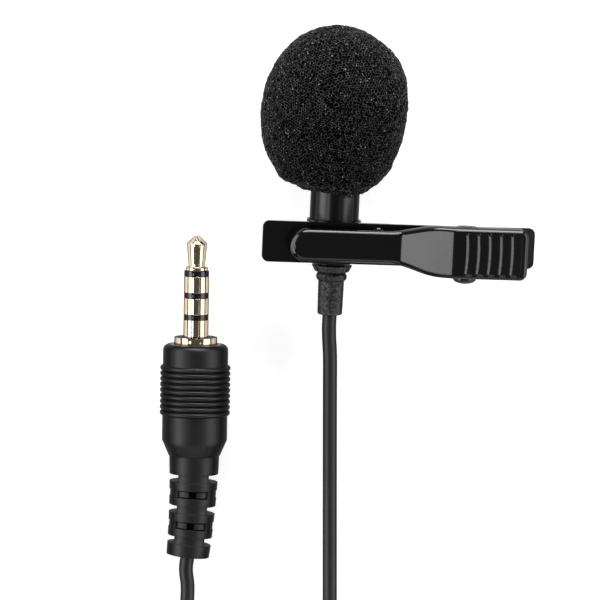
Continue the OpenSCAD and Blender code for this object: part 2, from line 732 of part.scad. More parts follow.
// Rubber grommet: inner flange, neck in the rear cap, outer flange, bead and sleeve
module mic_strain_relief() {
    inner_r = grommet_inner_d / 2;
    neck_r = grommet_neck_d / 2;
    flange_r = grommet_flange_d / 2;
    sleeve_r = grommet_sleeve_d / 2;
    end_r = grommet_end_d / 2;
    bead_r = grommet_bead_h / 2;
    end_round = 0.25;
    profile = concat(
        [[0, grommet_inner_front], [inner_r, grommet_inner_front], [inner_r, cap_front],
         [neck_r, cap_front], [neck_r, grommet_top], [flange_r, grommet_top],
         [grommet_flange_low_d / 2, bead_top]],
        arc([grommet_bead_d / 2 - bead_r, bead_top - bead_r], bead_r, 60, -60, 2 * arc_steps),
        [[sleeve_r, bead_bottom]],
        arc([end_r - end_round, grommet_end + end_round], end_round, 0, -90),
        [[0, grommet_end]]);
    color(rubber_black) on_head() difference() {
        rotate_extrude() polygon(profile);
        translate([0, 0, grommet_end - cut])
            cylinder(r = cord_bore_r, h = grommet_inner_front - grommet_end + 2 * cut);
    }
}

// Band round the housing whose one end lies flat against the back jaw as a riveted tab
module holder_ring() {
    slit_angle = 50;
    color(gloss_black) on_clip() difference() {
        upright(-ring_half, ring_half) {
            difference() {
                circle(r = ring_out_r);
                circle(r = ring_in_r);
                rotate(slit_angle) translate([ring_in_r - ring_wall, -ring_slit / 2])
                    square([3 * ring_wall, ring_slit]);
            }
            translate([0, ring_in_r]) square([ring_tab_len, ring_wall]);
        }
        rivet_holes();
    }
}

module rivet_holes() {
    for (side = [-1, 1])
        translate([rivet_x, side * rivet_spacing / 2, ring_in_r - cut])
            cylinder(d = rivet_d + 2 * capsule_clearance, h = back_face - ring_in_r + 2 * cut);
}

// Two rivets with a domed head on the back jaw and a flat one under the tab
module holder_rivets() {
    head_r = rivet_head_d / 2;
    flat_head_h = 0.2;
    dome = concat([[0, back_face]], [for (i = [0:arc_steps]) let (a = 90 * i / arc_steps)
                  [head_r * cos(a), back_face + rivet_head_h * sin(a)]]);
    color(gloss_black) on_clip()
        for (side = [-1, 1]) translate([rivet_x, side * rivet_spacing / 2, 0]) {
            rotate_extrude() polygon(dome);
            translate([0, 0, ring_in_r - flat_head_h])
                cylinder(d = rivet_d, h = back_face + sink - ring_in_r + flat_head_h);
            translate([0, 0, ring_in_r - flat_head_h]) cylinder(r = head_r, h = flat_head_h);
        }
}

// Flat stamped jaw with a bent tail and two ears for the hinge pin
module back_jaw() {
    r = back_jaw_corner;
    tail_len = back_jaw_right - tail_bend_x;
    color(gloss_black) on_clip() difference() {
        union() {
            translate([0, 0, ring_out_r]) linear_extrude(back_jaw_t) {
                translate([r - back_jaw_left, -ring_half])
                    square([back_jaw_left + tail_bend_x - r, back_jaw_h]);
                translate([-back_jaw_left, r - ring_half]) square([2 * r, back_jaw_h - 2 * r]);
                for (side = [-1, 1])
                    translate([r - back_jaw_left, side * (ring_half - r)]) circle(r = r);
            }
            translate([tail_bend_x, 0, back_face]) rotate([0, tail_flare, 0])
                translate([0, 0, -back_jaw_t]) linear_extrude(back_jaw_t) {
                    translate([-sink, -ring_half]) square([tail_len + sink - r, back_jaw_h]);
                    translate([tail_len - 2 * r, r - ring_half])
                        square([2 * r, back_jaw_h - 2 * r]);
                    for (side = [-1, 1])
                        translate([tail_len - r, side * (ring_half - r)]) circle(r = r);
                }
            for (low = [-ear_out, ear_in]) upright(low, low + back_jaw_t) {
                translate([pivot_x, pivot_z]) circle(r = ear_r);
                translate([pivot_x - ear_r, ring_out_r + sink])
                    square([2 * ear_r, pivot_z - ring_out_r - sink]);
            }
        }
        upright(-pad_half, pad_half)
            translate([pivot_x, pivot_z]) circle(r = pin_r + hinge_clearance / 2);
        rivet_holes();
    }
}

// Outline of the front jaw seen from the front, on its upper side, set in by inset
function jaw_outline(inset) = concat(
    arc([tip_corner - tip_left, arm_half - tip_corner], tip_corner - inset, 180, 90, tip_steps),
    [[rise_x, arm_half - inset], [widen_x, pad_half - inset], [pad_x, pad_half - inset]],
    arc([pad_right - pad_corner, pad_half - pad_corner], pad_corner - inset, 90, 0, arc_steps));
function jaw_top(x) =
    arm_face + pad_rise * min(1, max(0, (x - rise_x) / (pad_x - rise_x)));

// The front jaw as a block with rounded edges, in rings from its foot up to its face;
// inset gives the hollow inside its sheet
module jaw_block(inset, steps) {
    e = jaw_edge - inset;
    half = len(jaw_outline(0));
    count = 2 * half;
    rings = steps + 1;
    // A whole ring: the outline on the upper side, then the same back along the lower side
    function ring_at(in, drop) = let (o = jaw_outline(in)) concat(
        [for (p = o) [p[0], p[1], jaw_top(p[0]) - inset - drop]],
        [for (i = [half - 1:-1:0]) [o[i][0], -o[i][1], jaw_top(o[i][0]) - inset - drop]]);
    foot = [for (p = ring_at(inset, 0)) [p[0], p[1], back_face - cut]];
    shoulder = [for (k = [0:steps]) let (a = 90 * k / steps)
                ring_at(inset + e * (1 - cos(a)), e * (1 - sin(a)))];
    function id(k, i) = k * count + i % count;
    function across(k, i) = [id(k, i), id(k, i + 1), id(k, count - 2 - i), id(k, count - 1 - i)];
    function back(f) = [f[3], f[2], f[1], f[0]];
    polyhedron(
        points = concat(foot, [for (r = shoulder) for (p = r) p]),
        faces = concat(
            [for (i = [0:half - 2]) back(across(0, i))],
            [for (k = [0:rings - 1]) for (i = [0:count - 1]) [id(k, i), id(k + 1, i + 1), id(k + 1, i)]],
            [for (k = [0:rings - 1]) for (i = [0:count - 1]) [id(k, i), id(k, i + 1), id(k + 1, i + 1)]],
            [for (i = [0:half - 2]) across(rings, i)]),
        convexity = 4);
}

// Everything under the lower edges of the front jaw's walls
module jaw_trim() {
    bite_z = back_face + bite_gap;
    bite_x = bite_len - tip_left;
    arm_edge = arm_face - arm_wall_depth;
    pad_edge = pad_face - pad_wall_depth;
    deep = -cut;
    upright(-pad_half - cut, pad_half + cut)
        polygon([[-tip_left - cut, deep], [-tip_left - cut, bite_z], [bite_x, bite_z],
                 [bite_x + sink, arm_edge], [rise_x, arm_edge], [pad_x, pad_edge],
                 [pad_right + cut, pad_edge], [pad_right + cut, deep]]);
    for (i = [1:3]) upright(-arm_half - cut, arm_half + cut)
        translate([i * bite_len / 3.5 - tip_left, bite_z])
            polygon([[-tooth_depth / 2, -cut], [-tooth_depth / 2, 0], [0, tooth_depth],
                     [tooth_depth / 2, 0], [tooth_depth / 2, -cut]]);
}

// Steps across the thumb pad: a short riser and a long fall, each on a shallow arc
module grip_steps() {
    riser = 0.3;
    fall = grip_pitch - 0.1;
    first = pad_x + 1.7;
    half = pad_half - jaw_edge / 2;
    for (i = [0:grip_count - 1]) {
        r = grip_arc + i * grip_pitch;
        a = asin(half / r);
        translate([first - grip_arc, 0, pad_face]) rotate([0, 0, -a]) rotate_extrude(angle = 2 * a)
            polygon([[r, -sink], [r, 0], [r + riser, grip_h], [r + fall, 0], [r + fall, -sink]]);
    }
}

// Drawn channel with a rounded biting tip, a rise, a stepped thumb pad and ears
module front_jaw() {
    color(gloss_black) on_clip() difference() {
        union() {
            difference() {
                jaw_block(0, edge_steps);
                jaw_block(front_jaw_t, 1);
                jaw_trim();
            }
            grip_steps();
            for (low = [-pad_half, pad_half - front_jaw_t]) upright(low, low + front_jaw_t) {
                translate([pivot_x, pivot_z]) circle(r = ear_r);
                translate([pivot_x - ear_r, pivot_z])
                    square([2 * ear_r, pad_face - jaw_edge - pivot_z]);
            }
        }
        upright(-pad_half - cut, pad_half + cut)
            translate([pivot_x, pivot_z]) circle(r = pin_r + hinge_clearance);
    }
}

// Pin with a domed head at the cable side and a peened end at the other
module hinge_pin() {
    head_r = pin_head_d / 2;
    land = 0.3;
    seat = pad_half + ear_gap;
    dome = concat([[0, seat], [head_r, seat]],
                  [for (i = [0:arc_steps]) let (a = 90 * i / arc_steps)
                   [head_r * cos(a), seat + land + (pin_head_h - land) * sin(a)]]);
    color(gloss_black) on_clip() translate([pivot_x, 0, pivot_z]) rotate([90, 0, 0]) {
        rotate_extrude() polygon(dome);
        translate([0, 0, -pad_half - ear_gap]) cylinder(r = pin_r, h = 2 * seat + sink);
    }
}

module torsion_spring() {
    color(steel) on_clip() swept_tube(spring_path, spring_wire / 2, wound_sides, [0, 1, 0]);
}

module cord_mic_lead() {
    color(rubber_black) swept_tube(mic_lead_path, cord_r, cord_sides, [0, 0, 1]);
}

module cord_coil() {
    color(rubber_black) swept_tube(coil_path, cord_r, wound_sides, [0, 0, 1]);
}

module cord_plug_lead() {
    color(rubber_black) swept_tube(plug_lead_path, cord_r, cord_sides, [0, 0, 1]);
}

// Tip contact with its collar and the rod down the middle of the plug
module plug_tip() {
    color(plated) on_plug() rotate_extrude()
        polygon([[0, rod_back], [rod_r, rod_back], [rod_r, collar_back], [collar_d / 2, collar_back],
                 [collar_d / 2, collar_front], [tip_neck_d / 2, collar_front],
                 [tip_max_d / 2, tip_widest], [tip_end_d / 2, tip_end], [0, tip_end]]);
}

// A contact band or insulating ring with the tube that runs back inside the plug
module band_and_tube(from, to, r, tube_back, layer) {
    inner = rod_r + layer * tube_wall;
    ring(from, to, r, inner);
    ring(tube_back, from + sink, inner + tube_wall, inner);
}

module insulator_tip() {
    color(satin_black) on_plug()
        band_and_tube(ring_1_front, collar_back, pin_r_plug, rod_back + 0.5, 0);
}

module plug_ring_1() {
    color(plated) on_plug() band_and_tube(ring_1_back, ring_1_front, pin_r_plug, ring_1_stem_back, 1);
}

module insulator_middle() {
    color(satin_black) on_plug()
        band_and_tube(ring_2_front, ring_1_back, pin_r_plug, ring_1_stem_back + 0.5, 2);
}

module plug_ring_2() {
    color(plated) on_plug() band_and_tube(ring_2_back, ring_2_front, pin_r_plug, ring_2_stem_back, 3);
}

module insulator_sleeve() {
    color(satin_black) on_plug()
        band_and_tube(sleeve_len, ring_2_back, pin_r_plug, ring_2_stem_back + 0.5, 4);
}

// Sleeve contact with flange, boss and solder lug
module plug_sleeve() {
    bore = rod_r + 5 * tube_wall;
    boss_r = bore + boss_wall;
    lug_w = 1.2;
    lug_t = 0.3;
    color(plated) on_plug() {
        ring(-flange_t, sleeve_len, pin_r_plug, bore);
        ring(-flange_t, 0, flange_d / 2, bore);
        ring(-flange_t - boss_len, -flange_t + sink, boss_r, bore);
        translate([boss_r - lug_t, -lug_w / 2, sleeve_lug_back])
            cube([lug_t, lug_w, -flange_t - boss_len + sink - sleeve_lug_back]);
    }
}

// Hard block under the grip, hollow round the solder joints
module plug_inner_mould() {
    color("#3a3a3c") on_plug() difference() {
        translate([0, 0, mould_end]) cylinder(r = mould_r, h = mould_len);
        translate([0, 0, mould_floor]) cylinder(r = mould_bore_r, h = mould_len);
        translate([0, 0, mould_end - cut]) cylinder(r = cord_bore_r, h = mould_len);
    }
}

// Conductors from the cable to the rod, the two rings' tubes and the sleeve's lug
module plug_conductors() {
    w = conductor_d / 2;
    spread = cord_r - w - 0.05;
    ring_1_out = rod_r + 2 * tube_wall + w + 0.05;
    ring_2_out = rod_r + 4 * tube_wall + w + 0.1;
    lug_in = rod_r + 5 * tube_wall + boss_wall - 0.15;
    color("#a33b32") on_plug() {
        rod([0, 0, plug_cable_front], [0, 0, rod_back], w);
        rotate([0, 0, 120])
            rod([spread, 0, plug_cable_front], [ring_1_out, 0, ring_1_stem_back + 0.6], w);
        rotate([0, 0, 240])
            rod([spread, 0, plug_cable_front], [ring_2_out, 0, ring_2_stem_back + 0.4], w);
        rod([spread, 0, plug_cable_front], [lug_in, 0, sleeve_lug_back], w);
    }
}

// A round bar along the strain relief's curve
module relief_bar(r) {
    translate([-relief_radius, 0, relief_start]) rotate([-90, 0, 0])
        rotate_extrude(angle = relief_bend) translate([relief_radius, 0]) circle(r = r);
}

// The cord's own end, through the strain relief into the inner mould
module plug_cable_end() {
    color(rubber_black) on_plug() {
        translate([0, 0, relief_start]) cylinder(r = cord_r, h = plug_cable_front - relief_start);
        relief_bar(cord_r);
    }
}

// Radius of the strain relief at a distance along it, and where its slots lie
function relief_r(t) = (relief_d - (relief_d - relief_end_d) * t / relief_len) / 2;
function slot_at(i) = first_slot + i * slot_pitch;

// Solid length of the strain relief between two distances along it
module relief_block(from, to) {
    on_relief((from + to) / 2)
        cylinder(r1 = relief_r(to), r2 = relief_r(from), h = to - from, center = true);
}

// What is left standing in a slot: by turns a web between slots cut from the sides, and two
// lands and a round core between slots cut from front and back
module relief_web(i) {
    h = slot_h + 2 * sink;
    r = relief_r(slot_at(i)) - sink;
    on_relief(slot_at(i))
        if (i % 2 == 0) intersection() {
            cylinder(r = r, h = h, center = true);
            cube([web_w, relief_d, h], true);
        } else {
            difference() {
                cylinder(r = r, h = h, center = true);
                cube([web_w, relief_d, h + cut], true);
            }
            cylinder(d = core_d, h = h, center = true);
        }
}

// Rubber grip with round ribs and, in the same moulding, the slotted strain relief
module plug_grip() {
    s = grip_shoulder;
    ledge = 0.1;
    last = slot_count - 1;
    color(rubber_black) on_plug() difference() {
        union() {
            rotate_extrude()
                polygon(concat([[0, grip_top]], arc([grip_r - s, grip_top - s], s, 90, 0),
                               [[grip_r, grip_end], [relief_d / 2 + ledge, relief_start],
                                [0, relief_start]]));
            for (i = [0:rib_count - 1])
                translate([0, 0, grip_top - first_rib - i * rib_pitch])
                    rotate_extrude() translate([grip_r, 0]) circle(r = rib_r);
            relief_block(-3 * sink, slot_at(0) - slot_h / 2);
            for (i = [1:last])
                relief_block(slot_at(i - 1) + slot_h / 2, slot_at(i) - slot_h / 2);
            relief_block(slot_at(last) + slot_h / 2, relief_len);
            for (i = [0:last]) relief_web(i);
        }
        translate([0, 0, mould_end]) cylinder(r = mould_r, h = mould_len + cut);
        translate([0, 0, relief_start])
            cylinder(r = cord_bore_r, h = mould_end - relief_start + sink);
        relief_bar(cord_bore_r);
    }
}

windscreen();
capsule_housing();
front_grille();
dust_felt();
capsule_can();
diaphragm();
spacer_ring();
backplate();
insulating_cup();
transistor();
circuit_board();
capsule_gasket();
rear_cap();
mic_conductors();
mic_cable_end();
mic_strain_relief();
holder_ring();
holder_rivets();
back_jaw();
front_jaw();
hinge_pin();
torsion_spring();
cord_mic_lead();
cord_coil();
cord_plug_lead();
plug_tip();
insulator_tip();
plug_ring_1();
insulator_middle();
plug_ring_2();
insulator_sleeve();
plug_sleeve();
plug_inner_mould();
plug_conductors();
plug_cable_end();
plug_grip();
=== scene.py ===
"""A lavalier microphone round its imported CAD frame: foam windscreen, tie clip, cord and plug."""

import json
import math

import bmesh
import bpy
from bpy.props import FloatProperty, FloatVectorProperty, IntProperty, PointerProperty
from mathutils import Matrix, Vector
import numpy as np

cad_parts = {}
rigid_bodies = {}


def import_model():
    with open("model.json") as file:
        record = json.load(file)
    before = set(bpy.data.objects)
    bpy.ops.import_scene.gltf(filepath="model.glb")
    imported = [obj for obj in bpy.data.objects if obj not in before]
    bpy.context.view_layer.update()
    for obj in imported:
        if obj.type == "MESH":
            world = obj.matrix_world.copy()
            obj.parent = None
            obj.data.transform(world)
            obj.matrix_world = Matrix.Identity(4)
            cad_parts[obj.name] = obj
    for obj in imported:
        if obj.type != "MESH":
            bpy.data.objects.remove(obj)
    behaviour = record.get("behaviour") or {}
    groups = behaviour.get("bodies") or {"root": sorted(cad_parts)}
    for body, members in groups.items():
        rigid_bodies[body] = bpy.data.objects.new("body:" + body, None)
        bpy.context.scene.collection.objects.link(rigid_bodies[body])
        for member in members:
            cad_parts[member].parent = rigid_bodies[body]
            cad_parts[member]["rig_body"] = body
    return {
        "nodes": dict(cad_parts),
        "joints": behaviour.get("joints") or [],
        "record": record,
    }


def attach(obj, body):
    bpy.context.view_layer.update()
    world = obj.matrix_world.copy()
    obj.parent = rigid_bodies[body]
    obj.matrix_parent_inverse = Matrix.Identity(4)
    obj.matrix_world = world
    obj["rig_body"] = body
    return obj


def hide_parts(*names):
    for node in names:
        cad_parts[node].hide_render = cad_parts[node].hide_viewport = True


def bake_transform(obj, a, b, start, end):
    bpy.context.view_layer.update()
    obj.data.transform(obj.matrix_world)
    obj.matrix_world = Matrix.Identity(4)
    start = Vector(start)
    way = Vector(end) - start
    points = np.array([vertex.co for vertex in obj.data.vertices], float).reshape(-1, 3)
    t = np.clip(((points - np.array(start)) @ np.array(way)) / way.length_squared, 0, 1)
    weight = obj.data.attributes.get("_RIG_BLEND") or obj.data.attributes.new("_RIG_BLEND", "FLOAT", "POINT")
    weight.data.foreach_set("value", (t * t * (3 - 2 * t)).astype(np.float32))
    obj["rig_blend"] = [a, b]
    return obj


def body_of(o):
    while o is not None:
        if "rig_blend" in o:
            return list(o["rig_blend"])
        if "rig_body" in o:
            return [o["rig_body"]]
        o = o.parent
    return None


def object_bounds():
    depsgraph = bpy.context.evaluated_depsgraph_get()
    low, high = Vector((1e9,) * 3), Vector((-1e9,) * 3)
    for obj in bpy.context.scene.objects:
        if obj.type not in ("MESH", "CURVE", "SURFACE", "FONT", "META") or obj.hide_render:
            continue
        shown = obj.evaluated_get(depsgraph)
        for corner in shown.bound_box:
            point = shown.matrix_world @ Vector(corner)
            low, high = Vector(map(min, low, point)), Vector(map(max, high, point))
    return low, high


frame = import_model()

bl_info = {
    "name": "Lavalier Microphone",
    "version": (1, 0, 0),
    "blender": (4, 5, 0),
    "location": "3D View > Sidebar > Microphone",
    "description": "Makes a lavalier microphone's foam, clip, cord and plug round its CAD frame",
    "category": "Object",
}

CAD_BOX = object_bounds()
MM = 0.001
UP = Vector((0, 0, 1))
JOINTS = {joint["name"]: joint for joint in frame["joints"]}
MOUNTS = {mount["name"]: mount for mount in frame["record"]["mounts"]}


# Places. Millimetres in a local frame become metres in the frame of the CAD nodes.


def placed(place, x, z):
    """Matrix to metres, from millimetres along x, along z and along the way across both."""
    turned = Matrix((x, z.cross(x), z)).transposed().to_4x4()
    return Matrix.Translation(place) @ turned @ Matrix.Scale(MM, 4)


def lying(place, axis):
    """Frame of a lying round piece: Z runs along its axis and X is level."""
    axis = Vector(axis).normalized()
    return placed(Vector(place), axis.cross(UP).normalized(), axis)


# Front jaw and hinge in the clip's frame, from the housing's axis: X along the jaws, Z outwards
PIVOT_X = 17.5
PIVOT_Z = 7.775
# Middle of the plug's mount, from its flange
PIN_MIDDLE = 4.65
# End of the strain relief behind the middle of the holder ring
RELIEF_END = -10.5


def clip_frame():
    """Frame of the clip, from the swivel's axis and the place of the hinge."""
    swivel, hinge = JOINTS["clip_swivel"], JOINTS["jaw_open"]
    along = Vector(swivel["axis"]).normalized()
    place = Vector(swivel["pos_m"])
    arm = Vector(hinge["pos_m"]) - place
    arm = (arm - along * arm.dot(along)).normalized()
    side = along.cross(arm)
    length = math.hypot(PIVOT_X, PIVOT_Z)
    x = (arm * PIVOT_X + side * PIVOT_Z) / length
    z = (arm * PIVOT_Z - side * PIVOT_X) / length
    return placed(place, x, z)


ON_HEAD = lying(JOINTS["clip_swivel"]["pos_m"], JOINTS["clip_swivel"]["axis"])
ON_CLIP = clip_frame()
ON_PLUG = lying(MOUNTS["plug_pin"]["pos_m"], MOUNTS["plug_pin"]["axis"]) @ Matrix.Translation(
    (0, 0, -PIN_MIDDLE)
)


# Settings


def linear(code):
    """Linear colour of an sRGB hex code."""

    def channel(value):
        return value / 12.92 if value <= 0.04045 else ((value + 0.055) / 1.055) ** 2.4

    return tuple(channel(int(code[i : i + 2], 16) / 255) for i in (1, 3, 5)) + (1.0,)


def length(label, description, default):
    """A size in metres."""
    return FloatProperty(
        name=label, description=description, default=default, precision=5, unit="LENGTH"
    )


def colour(label, description, code):
    """A colour given as an sRGB hex code."""
    return FloatVectorProperty(
        name=label, description=description, default=linear(code), size=4, subtype="COLOR"
    )


class StageSettings(bpy.types.PropertyGroup):
    camera_height: length("Camera height", "Height of the camera over the floor", 0.6)
    view_width: length("View width", "Width of floor that the camera sees", 0.08446)
    view_x: length("View X", "Place of the view's middle across the floor", -0.01368)
    view_y: length("View Y", "Place of the view's middle along the floor", -0.01806)
    paper: colour("Paper", "Colour of the seamless paper", "#c0c0c0")


class FoamSettings(bpy.types.PropertyGroup):
    fineness: length("Fineness", "Size of the foam's smallest faces", 0.00013)
    strut: length("Strut width", "Width of the single struts on the surface", 0.00011)
    cell: length("Cell size", "Width of the foam's cells", 0.00046)
    depth: length("Cell depth", "Depth of the cells that are cut open", 0.0005)
    seed: FloatProperty(name="Seed", description="Moves the cells about", default=3.0)
    # Inside the cells the foam is painted near black, a painted shade in its hollows
    painted_cell_shade: colour("Cells", "Colour inside the cells", "#010101")
    light: colour("Struts", "Colour of the walls between the cells", "#4e4e4f")


class ClipSettings(bpy.types.PropertyGroup):
    enamel: colour("Enamel", "Colour of the clip's enamel", "#0b0b0c")
    edge: length("Edge", "Width of the rounding on the cut edges of the sheet", 0.0001)
    rib_count: IntProperty(name="Ribs", description="Number of ribs on the thumb pad", default=5)
    rib_pitch: length("Rib pitch", "Distance from rib to rib", 0.00155)
    rib_height: length("Rib height", "Height of each rib", 0.00022)
    rib_bow: length("Rib bow", "Radius of the arc that the first rib lies on", 0.025)


class CordSettings(bpy.types.PropertyGroup):
    diameter: length("Diameter", "Diameter of the cord", 0.002)
    whole: length("Length", "Whole length of the cord", 1.5)
    jacket: colour("Jacket", "Colour of the jacket", "#141415")


class HeadSettings(bpy.types.PropertyGroup):
    tube: colour("Tube", "Colour of the housing's anodising", "#070708")
    rubber: colour("Rubber", "Colour of the strain relief", "#171718")
    edge: length("Edge", "Width of the rounding on the strain relief's edges", 0.00015)


class PlugSettings(bpy.types.PropertyGroup):
    plating: colour("Plating", "Colour of the plated contacts", "#d4c2a6")
    insulator: colour("Insulator", "Colour of the rings between the contacts", "#060607")
    rubber: colour("Rubber", "Colour of the moulded grip", "#111112")
    edge: length("Edge", "Width of the rounding on the contacts' edges", 0.00006)


class MicrophoneSettings(bpy.types.PropertyGroup):
    stage: PointerProperty(type=StageSettings)
    foam: PointerProperty(type=FoamSettings)
    head: PointerProperty(type=HeadSettings)
    clip: PointerProperty(type=ClipSettings)
    cord: PointerProperty(type=CordSettings)
    plug: PointerProperty(type=PlugSettings)


# Node trees

# Middle of the random colours and directions, which run from 0 to 1
MIDDLE = (0.5, 0.5, 0.5)
# Share of its gloss that a finish keeps at its outline, where its fine relief shades itself
OUTLINE_GLOSS = 0.05
# Width of the clouds in a finish, in grains
CLOUDS = 12
# Settings that many nodes share
EASED = {"interpolation_type": "SMOOTHSTEP"}
ON_POINTS = {"data_type": "FLOAT", "domain": "POINT"}


def add(tree, kind, inputs=(), **settings):
    """Adds a node with its settings. Its inputs get values, or the outputs that feed them.

    A node among the inputs stands for its first output."""
    node = tree.nodes.new(kind)
    for name, value in settings.items():
        setattr(node, name, value)
    for key, value in dict(inputs).items():
        if isinstance(value, bpy.types.Node):
            value = value.outputs[0]
        if isinstance(value, bpy.types.NodeSocket):
            tree.links.new(value, node.inputs[key])
        else:
            node.inputs[key].default_value = value
    return node


def per_mm(size):
    """Scale of a texture whose feature is that many millimetres wide, on coordinates in metres."""
    return 1 / (size * MM)


def material(name):
    """An empty material and its node tree."""
    made = bpy.data.materials.new(name)
    made.use_nodes = True
    made.node_tree.nodes.clear()
    return made, made.node_tree


def shaded_gloss(tree, level, start, end):
    """Specular level of a fine relief that shades itself at flat angles.

    It fades between start and end, which run from 0, facing the eye, to 1, edge on."""
    facing = add(tree, "ShaderNodeLayerWeight", {"Blend": 0.5}).outputs["Facing"]
    return add(
        tree,
        "ShaderNodeMapRange",
        {0: facing, 1: start, 2: end, 3: level, 4: level * OUTLINE_GLOSS},
        **EASED,
    )


def facets(tree, place, grain, tilt):
    """Normals that lean another way on every grain, as on a spark-eroded or cast surface."""
    cells = add(tree, "ShaderNodeTexVoronoi", {"Vector": place, "Scale": per_mm(grain)})
    chance = cells.outputs["Color"]
    lean = add(tree, "ShaderNodeVectorMath", {0: chance, 1: MIDDLE}, operation="SUBTRACT")
    lean = add(tree, "ShaderNodeVectorMath", {0: lean, "Scale": tilt}, operation="SCALE")
    normal = add(tree, "ShaderNodeNewGeometry").outputs["Normal"]
    lean = add(tree, "ShaderNodeVectorMath", {0: lean, 1: normal}, operation="ADD")
    return add(tree, "ShaderNodeVectorMath", {0: lean}, operation="NORMALIZE")


def finish_of(
    name, shade, drift, roughness, grain, relief, metallic=0.0, level=0.5, shaded=(), tilt=0.0
):
    """A finish whose shade drifts in clouds to one that many times lighter, with a fine grain.

    grain is the grain's width and relief its height, in millimetres. roughness is its range.
    shaded is where its gloss fades towards its outline. tilt makes facets of its grains, which
    lean that far, instead of the relief."""
    made, tree = material(name)
    place = add(tree, "ShaderNodeTexCoord").outputs["Object"]
    wide = {"Vector": place, "Scale": per_mm(grain * CLOUDS), "Detail": 3.0}
    clouds = add(tree, "ShaderNodeTexNoise", wide).outputs["Fac"]
    narrow = {"Vector": place, "Scale": per_mm(grain), "Detail": 2.0}
    fine = add(tree, "ShaderNodeTexNoise", narrow).outputs["Fac"]
    lighter = [min(part * drift, 1) for part in shade]
    tint = add(tree, "ShaderNodeMix", {0: clouds, 6: shade, 7: lighter}, data_type="RGBA")
    gloss = add(tree, "ShaderNodeMapRange", {0: fine, 3: roughness[0], 4: roughness[1]})
    if tilt:
        normal = facets(tree, place, grain, tilt)
    else:
        raised = {"Height": fine, "Distance": relief * MM, "Strength": 1.0}
        normal = add(tree, "ShaderNodeBump", raised)
    shader = add(
        tree,
        "ShaderNodeBsdfPrincipled",
        {
            "Base Color": tint.outputs[2],
            "Roughness": gloss,
            "Normal": normal,
            "Metallic": metallic,
            "IOR": 1.5,
            "Specular IOR Level": shaded_gloss(tree, level, *shaded) if shaded else level,
        },
    )
    if metallic:
        # Its edge tint is black: its reflection is painted darker at flat angles, a painted shade along its
        # outline
        shader.inputs["Specular Tint"].default_value = (0, 0, 0, 1)
    add(tree, "ShaderNodeOutputMaterial", {"Surface": shader})
    return made


def skin_of(name, shade, ripples, haze, roughness, relief, ior, shaded):
    """A smooth skin of one shade, with a haze in its roughness and faint ripples.

    ripples and haze are each a width in millimetres and a detail, and relief is the ripples'
    height. shaded is the level of its gloss and where that fades towards its outline."""
    made, tree = material(name)
    place = add(tree, "ShaderNodeTexCoord").outputs["Object"]
    noises = []
    for width, detail in (ripples, haze):
        noise = {"Vector": place, "Scale": per_mm(width), "Detail": detail}
        noises.append(add(tree, "ShaderNodeTexNoise", noise).outputs["Fac"])
    gloss = add(tree, "ShaderNodeMapRange", {0: noises[1], 3: roughness[0], 4: roughness[1]})
    raised = {"Height": noises[0], "Distance": relief * MM, "Strength": 1.0}
    shader = add(
        tree,
        "ShaderNodeBsdfPrincipled",
        {
            "Base Color": shade,
            "Roughness": gloss,
            "IOR": ior,
            "Specular IOR Level": shaded_gloss(tree, *shaded),
            "Normal": add(tree, "ShaderNodeBump", raised),
        },
    )
    add(tree, "ShaderNodeOutputMaterial", {"Surface": shader})
    return made


# Meshes

# Points nearer than this are one, in metres, and faces that turn by less degrees than this are one
SAME_POINT = 1e-6
SAME_FACE = 0.4
# Edges sharper than this many degrees are rounded, in so many steps
SHARP = 40
ROUNDING_STEPS = 3


def keep(name, mesh):
    """Puts a mesh in the scene as a piece with that name."""
    made = bpy.data.objects.new(name, mesh)
    bpy.context.scene.collection.objects.link(made)
    return made


def from_parts(name, points, faces):
    """A piece from points and faces, with its normals outwards."""
    body = bmesh.new()
    corners = [body.verts.new(point) for point in points]
    for face in faces:
        body.faces.new([corners[i] for i in face])
    bmesh.ops.remove_doubles(body, verts=body.verts, dist=SAME_POINT)
    bmesh.ops.recalc_face_normals(body, faces=body.faces)
    mesh = bpy.data.meshes.new(name)
    body.to_mesh(mesh)
    body.free()
    return keep(name, mesh)


def baked(piece):
    """Turns the modifiers of a piece into its mesh."""
    graph = bpy.context.evaluated_depsgraph_get()
    mesh = bpy.data.meshes.new_from_object(piece.evaluated_get(graph), depsgraph=graph)
    piece.modifiers.clear()
    piece.data = mesh
    mesh.name = piece.name
    return piece


def smooth(piece, angle=35):
    """Smooth shading, but for edges sharper than the angle."""
    piece.data.shade_smooth()
    piece.data.set_sharp_from_angle(angle=math.radians(angle))
    return piece


def copied(node, name):
    """A piece with the merged mesh of a CAD node."""
    body = bmesh.new()
    body.from_mesh(frame["nodes"][node].data)
    bmesh.ops.remove_doubles(body, verts=body.verts, dist=SAME_POINT)
    bmesh.ops.dissolve_limit(
        body, angle_limit=math.radians(SAME_FACE), verts=body.verts, edges=body.edges
    )
    mesh = bpy.data.meshes.new(name)
    body.to_mesh(mesh)
    body.free()
    for kept in [a.name for a in mesh.attributes if a.name.startswith("custom_normal")]:
        mesh.attributes.remove(mesh.attributes[kept])
    return keep(name, mesh)


def softened(node, name, width):
    """A copy of a CAD node with its sharp edges rounded to that width, in its place."""
    piece = copied(node, name)
    bevel = piece.modifiers.new("Edges", "BEVEL")
    bevel.width, bevel.segments, bevel.limit_method = width, ROUNDING_STEPS, "ANGLE"
    bevel.angle_limit = math.radians(SHARP)
    smooth(baked(piece))
    # Its broad faces keep their own normals up to the rounded edges
    piece.modifiers.new("Broad faces", "WEIGHTED_NORMAL").keep_sharp = True
    baked(piece)
    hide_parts(node)
    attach(piece, body_of(frame["nodes"][node])[0])
    return piece


def dress(piece, finish):
    """Gives a piece or a CAD node its material."""
    if not piece.material_slots:
        piece.data.materials.append(finish)
    for slot in piece.material_slots:
        slot.material = finish
    return piece


def dress_node(finish, *nodes):
    """Gives CAD nodes that show as they are their material."""
    for node in nodes:
        dress(frame["nodes"][node], finish)


